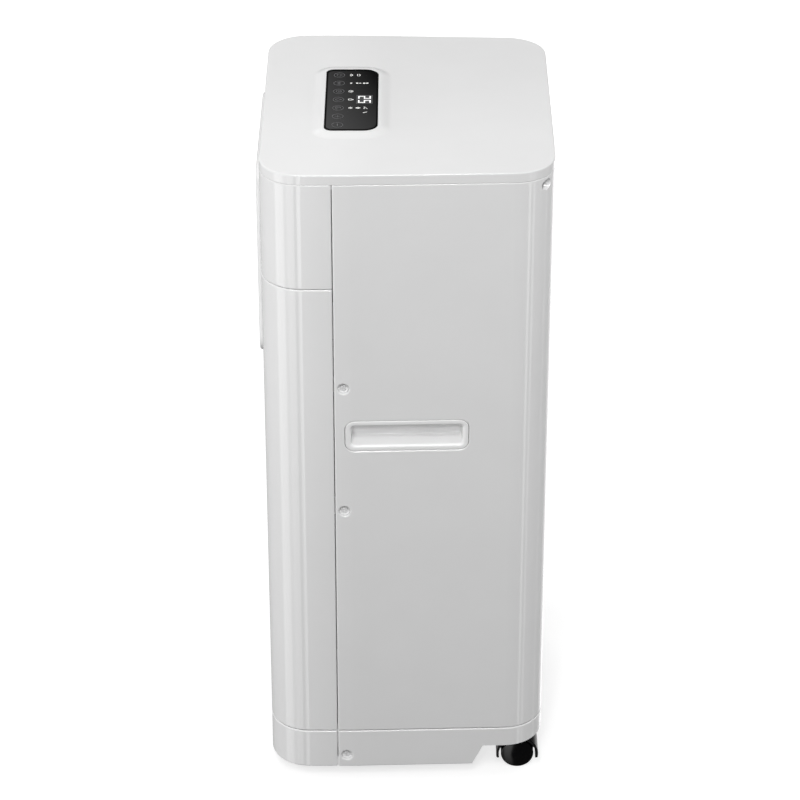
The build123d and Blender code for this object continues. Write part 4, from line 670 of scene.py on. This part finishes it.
for centre, segments in ((READOUT_X - DIGIT_PITCH / 2, TWO), (READOUT_X + DIGIT_PITCH / 2, FIVE)):
    for name in segments:
        first, last = [
            Vector((centre + x * half_width, READOUT_Y + y * half_height)) for x, y in SEGMENTS[name]
        ]
        # The level bars run to the corners, and the upright ones stop short of them.
        level = name in ("top", "middle", "bottom")
        short = -DIGIT_STROKE / 2 if level else DIGIT_STROKE / 2 + SEGMENT_GAP
        inset = (last - first).normalized() * short
        digit_lines.append(([first + inset, last - inset], DIGIT_STROKE, False))
print_marks("readout_digits", digit_lines, lit_window("lit_digits", "#F0F0EE", "#FAFAF8", 0.7))
haze_front = (READOUT_X, READOUT_Y - DIGIT_HEIGHT / 2 - HAZE_FRONT)
haze_rear = (READOUT_X, READOUT_Y + DIGIT_HEIGHT / 2 + HAZE_REAR)
haze = [([haze_front, haze_rear], HAZE_WIDTH, False)]
print_marks("readout_haze", haze, lit_window("dim_window", "#2E2E2F", "#343435", 0.9), INK / 2)

SIGN_Y = (-55.1, -47.7, -40.8)
BOLD = 0.6
HEAVY = 0.8
FINE = 0.5
# Air modes over the first key: a dome, and a dome on a bar.
x, y = RING_X[0], SIGN_Y[0]
sign_lines = [(arc(x, y - 1.2, 2.4, 10, 170), BOLD, False), (arc(x, y - 1.4, 1.0, 0, 180), BOLD, False)]
y = SIGN_Y[1]
sign_lines += [(arc(x, y - 1.0, 2.4, 20, 160), BOLD, False)]
sign_lines += [([(x - 2.2, y - 1.4), (x + 2.2, y - 1.4)], BOLD, False)]
# Fan levels over the second: bars from first to last, with their widths.
LEVEL_BARS = (
    ((-0.9, 0.9, 2.2),),
    ((-2.5, -0.4, 2.2), (0.4, 2.5, 1.1)),
    ((-2.6, -0.3, 2.2), (0.3, 2.6, 2.2)),
)
x = RING_X[1]
for y, bars in zip(SIGN_Y, LEVEL_BARS):
    for first, last, width in bars:
        sign_lines += [([(x, y + first), (x, y + last)], width, False)]
# A clock over the third, and a drop over the fourth.
x, y = RING_X[2], SIGN_Y[0]
sign_lines += [(arc(x, y, 2.1), BOLD, True), ([(x, y + 1.2), (x, y), (x + 1.0, y)], BOLD, False)]
x = RING_X[3]
sign_lines += [([(x, y + 2.7)] + arc(x, y - 0.5, 1.7, 150, 390), BOLD, True)]
# A star, a lozenge, a degree ring with an open arc, and a stroke beside them over the fifth.
x = RING_X[4]
for turn in (0, 60, 120):
    tip = Vector((math.cos(math.radians(turn)), math.sin(math.radians(turn)))) * 2.2
    for side in (-1, 1):
        sign_lines += [([Vector((x, y)) + tip * side * 0.25, Vector((x, y)) + tip * side], BOLD, False)]
y = SIGN_Y[1]
sign_lines += [([(x, y + 2.0), (x + 1.4, y), (x, y - 2.0), (x - 1.4, y)], HEAVY, True)]
y = SIGN_Y[2]
sign_lines += [(arc(x - 1.7, y - 0.6, 0.6), FINE, True), (arc(x + 1.4, y + 0.4, 1.5, 50, 310), FINE, False)]
sign_lines += [([(x + 11.4, y - 2.0), (x + 9.4, y + 2.0)], HEAVY, False)]
print_marks("mode_signs", sign_lines, lit_window("lit_signs", "#D8D8D6", "#F0F0EE", 0.45))


# Studio
# A pale floor that keeps the part's shadow, a white surround that shows upright light strips in the
# gloss, soft lamps on all four sides, a small fill by the camera and a grey card that the panel mirrors.
FLOOR_HALF = 9.0
FLOOR_BOUNCE = "#6A6A6A"
FLOOR_GLOW = 1.45
# The floor's own light takes over from its shading by these shares, at these distances in metres.
GLOW_SHARE = (0.5, 0.8)
SHADOW_REACH = (0.6, 2.4)


def studio_floor():
    """Matt white board that reads as the white surround to the eye and still takes a shadow, which fades
    with the distance from the part."""
    material, tree, shader, place = start("matt_white_board", Roughness=0.9, Specular_IOR_Level=0.0)
    fibre = add(tree, "ShaderNodeTexNoise", {"Vector": place, "Scale": 1 / (10 * MM), "Detail": 2})
    add(
        tree, "ShaderNodeValToRGB", {"Fac": fibre.outputs["Fac"]}, shader.inputs["Base Color"],
        stops=((0.3, "#E4E4E4"), (0.7, "#E7E7E7")),
    )
    ray = add(tree, "ShaderNodeLightPath").outputs["Is Camera Ray"]
    reach = add(tree, "ShaderNodeVectorMath", {0: place}, operation="LENGTH")
    share = add(
        tree, "ShaderNodeMapRange",
        {
            "Value": reach.outputs["Value"], "From Min": SHADOW_REACH[0], "From Max": SHADOW_REACH[1],
            "To Min": GLOW_SHARE[0], "To Max": GLOW_SHARE[1],
        },
    )
    glow = add(tree, "ShaderNodeEmission", {"Color": (1, 1, 1, 1), "Strength": FLOOR_GLOW})
    both = add(
        tree, "ShaderNodeMixShader", {0: share.outputs["Result"], 1: shader.outputs[0], 2: glow.outputs[0]}
    )
    dull = add(tree, "ShaderNodeBsdfDiffuse", {"Color": linear(FLOOR_BOUNCE)})
    add(
        tree, "ShaderNodeMixShader", {0: ray, 1: dull.outputs[0], 2: both.outputs[0]},
        tree.nodes["Material Output"].inputs["Surface"],
    )
    return material


# Levels of light from the surround, of the room in the gloss, and of the strips in it, with the strips'
# soft ends as heights on a ball round the part.
SURROUND = 0.28
ROOM = 0.15
STRIP_LIGHT = 6.4
STRIP_FOOT = (-0.85, -0.42)
STRIP_HEAD = (-0.36, -0.28)
# Angles in degrees from +X towards the front, with levels from 0 to 1.
STRIPS = (
    (-180, 0.24), (-174, 0.42), (-150, 0.3), (-130, 0.08), (-109, 0), (-108, 0.16), (-104, 0.16), (-103, 0),
    (-63, 0), (-62, 0.3), (-58, 0.3), (-57, 0), (-51, 0), (-50, 0.38), (-44.5, 0.38), (-43.5, 0),
    (2.2, 0), (3, 0.66), (12, 0.66), (13, 0.12), (19.5, 0.12), (21, 0.44), (39, 0.44), (41, 0.28),
    (49.5, 0.28), (51, 0.55), (76, 0.55), (77.5, 0.22), (110, 0.17), (140, 0.12), (171, 0.07), (180, 0.24),
)


def studio_world():
    """White to the camera, soft light on the part, and in its gloss a dim room with upright light strips."""
    world = bpy.data.worlds.new("white_surround")
    world.use_nodes = True
    tree = world.node_tree
    back = tree.nodes["Background"]
    back.inputs["Color"].default_value = (1, 1, 1, 1)
    ray = add(tree, "ShaderNodeLightPath")
    way = add(tree, "ShaderNodeSeparateXYZ", {0: add(tree, "ShaderNodeTexCoord").outputs["Generated"]})
    front = add(tree, "ShaderNodeMath", {0: way.outputs["Y"], 1: -1.0}, operation="MULTIPLY")
    turn = add(tree, "ShaderNodeMath", {0: front.outputs[0], 1: way.outputs["X"]}, operation="ARCTAN2")
    round_about = add(
        tree, "ShaderNodeMapRange", {"Value": turn.outputs[0], "From Min": -math.pi, "From Max": math.pi}
    )
    strips = add(
        tree, "ShaderNodeValToRGB", {"Fac": round_about.outputs["Result"]},
        stops=[((angle + 180) / 360, (level, level, level, 1)) for angle, level in STRIPS],
    )
    foot = add(
        tree, "ShaderNodeMapRange",
        {
            "Value": way.outputs["Z"], "From Min": STRIP_FOOT[0], "From Max": STRIP_FOOT[1],
            "To Min": 0.0, "To Max": STRIP_LIGHT,
        },
    )
    head = add(
        tree, "ShaderNodeMapRange",
        {
            "Value": way.outputs["Z"], "From Min": STRIP_HEAD[0], "From Max": STRIP_HEAD[1],
            "To Min": 1.0, "To Max": 0.0,
        },
    )
    tall = add(
        tree, "ShaderNodeMath", {0: foot.outputs["Result"], 1: head.outputs["Result"]}, operation="MULTIPLY"
    )
    room = add(
        tree, "ShaderNodeMath", {0: strips.outputs["Color"], 1: tall.outputs[0], 2: ROOM},
        operation="MULTIPLY_ADD",
    )
    gloss = add(
        tree, "ShaderNodeMix", {"Factor": ray.outputs["Is Glossy Ray"], "A": SURROUND, "B": room.outputs[0]}
    )
    seen = add(
        tree, "ShaderNodeMath", {0: ray.outputs["Is Camera Ray"], 1: ray.outputs["Is Transmission Ray"]},
        operation="MAXIMUM",
    )
    add(
        tree, "ShaderNodeMix", {"Factor": seen.outputs[0], "A": gloss.outputs["Result"], "B": 1.0},
        back.inputs["Strength"],
    )
    return world


# Name, place, height of the aim on the part's axis, size, watts, and whether the gloss mirrors it.
LAMPS = (
    ("front_lamp", (0.2, -3.0, 1.3), 0.4, 1.6, 36, False),
    ("side_lamp", (2.5, -0.25, 3.2), 0.45, 1.25, 62, True),
    ("fill_lamp", (2.45, -0.3, 2.06), 0.45, 0.15, 13, True),
    ("left_lamp", (-2.85, -0.65, 2.2), 0.45, 1.4, 34, False),
    ("rear_lamp", (0.7, 2.8, 1.3), 0.4, 1.6, 15, False),
    ("back_lamp", (-1.3, 2.6, 1.3), 0.4, 1.6, 18, False),
)


def soft_lamp(name, place, aim, size, power, mirrored):
    """A square soft lamp; one that isn't mirrored stays out of the gloss."""
    lamp = bpy.data.lights.new(name, "AREA")
    lamp.shape = "SQUARE"
    lamp.size = size
    lamp.energy = power
    holder = put(name, lamp)
    holder.location = place
    holder.rotation_euler = (Vector((0, 0, aim)) - Vector(place)).to_track_quat("-Z", "Y").to_euler()
    holder.visible_camera = False
    holder.visible_glossy = mirrored


def stage_sheet(name, corners, material):
    """A flat sheet that belongs to the studio and not to the part."""
    data = bpy.data.meshes.new(name)
    data.from_pydata(corners, [], [(0, 1, 2, 3)])
    data.materials.append(material)
    sheet = put(name, data)
    return sheet


# The card stands on the far side, and its glow grows from nothing between these places in metres.
CARD_X = -0.5
CARD_Y = (-0.4, 0.3)
CARD_Z = (0.75, 1.2)
CARD_ACROSS = (-0.034, -0.096, 0.3)
CARD_UP = (0.887, 0.963, 0.28)


def grey_card():
    """A card that glows more towards its top and towards the front, as the panel shows it upside down."""
    material = bpy.data.materials.new("graded_card")
    material.use_nodes = True
    tree = material.node_tree
    axis = add(tree, "ShaderNodeSeparateXYZ", {0: add(tree, "ShaderNodeTexCoord").outputs["Object"]})
    across, up = [
        add(
            tree, "ShaderNodeMapRange",
            {"Value": axis.outputs[way], "From Min": dark, "From Max": light, "To Min": 0.0, "To Max": glow},
        )
        for way, (dark, light, glow) in (("Y", CARD_ACROSS), ("Z", CARD_UP))
    ]
    level = add(
        tree, "ShaderNodeMath", {0: across.outputs["Result"], 1: up.outputs["Result"]}, operation="ADD"
    )
    add(
        tree, "ShaderNodeEmission", {"Color": (1, 1, 1, 1), "Strength": level.outputs[0]},
        tree.nodes["Material Output"].inputs["Surface"],
    )
    return material


scene = bpy.context.scene
floor_corners = [(x * FLOOR_HALF, y * FLOOR_HALF, 0) for x, y in ((-1, -1), (1, -1), (1, 1), (-1, 1))]
floor = stage_sheet("floor", floor_corners, studio_floor())
floor.visible_glossy = False
card_corners = [(CARD_X, CARD_Y[i], CARD_Z[j]) for i, j in ((0, 0), (1, 0), (1, 1), (0, 1))]
card = stage_sheet("panel_card", card_corners, grey_card())
card.visible_camera = False
card.visible_diffuse = False
card.visible_transmission = False
card.visible_shadow = False
scene.world = studio_world()
for lamp in LAMPS:
    soft_lamp(*lamp)
scene.view_settings.view_transform = "Standard"


# Camera
# Level with the right side and looking down at it, as the photograph was taken. Its place and lens were
# fitted to the outline, the seams and the panel.
PITCH = math.radians(29.847)
YAW = math.radians(0.058)
EYE = (2.78697, -0.00409, 1.95885)
FOCAL_LENGTH = 140.456
SENSOR_WIDTH = 36
lens = bpy.data.cameras.new("camera")
lens.lens = FOCAL_LENGTH
lens.sensor_width = SENSOR_WIDTH
camera = put("camera", lens)
camera.location = EYE
sight = Vector((-math.cos(PITCH) * math.cos(YAW), -math.cos(PITCH) * math.sin(YAW), -math.sin(PITCH)))
camera.rotation_euler = sight.to_track_quat("-Z", "Y").to_euler()
scene.camera = camera
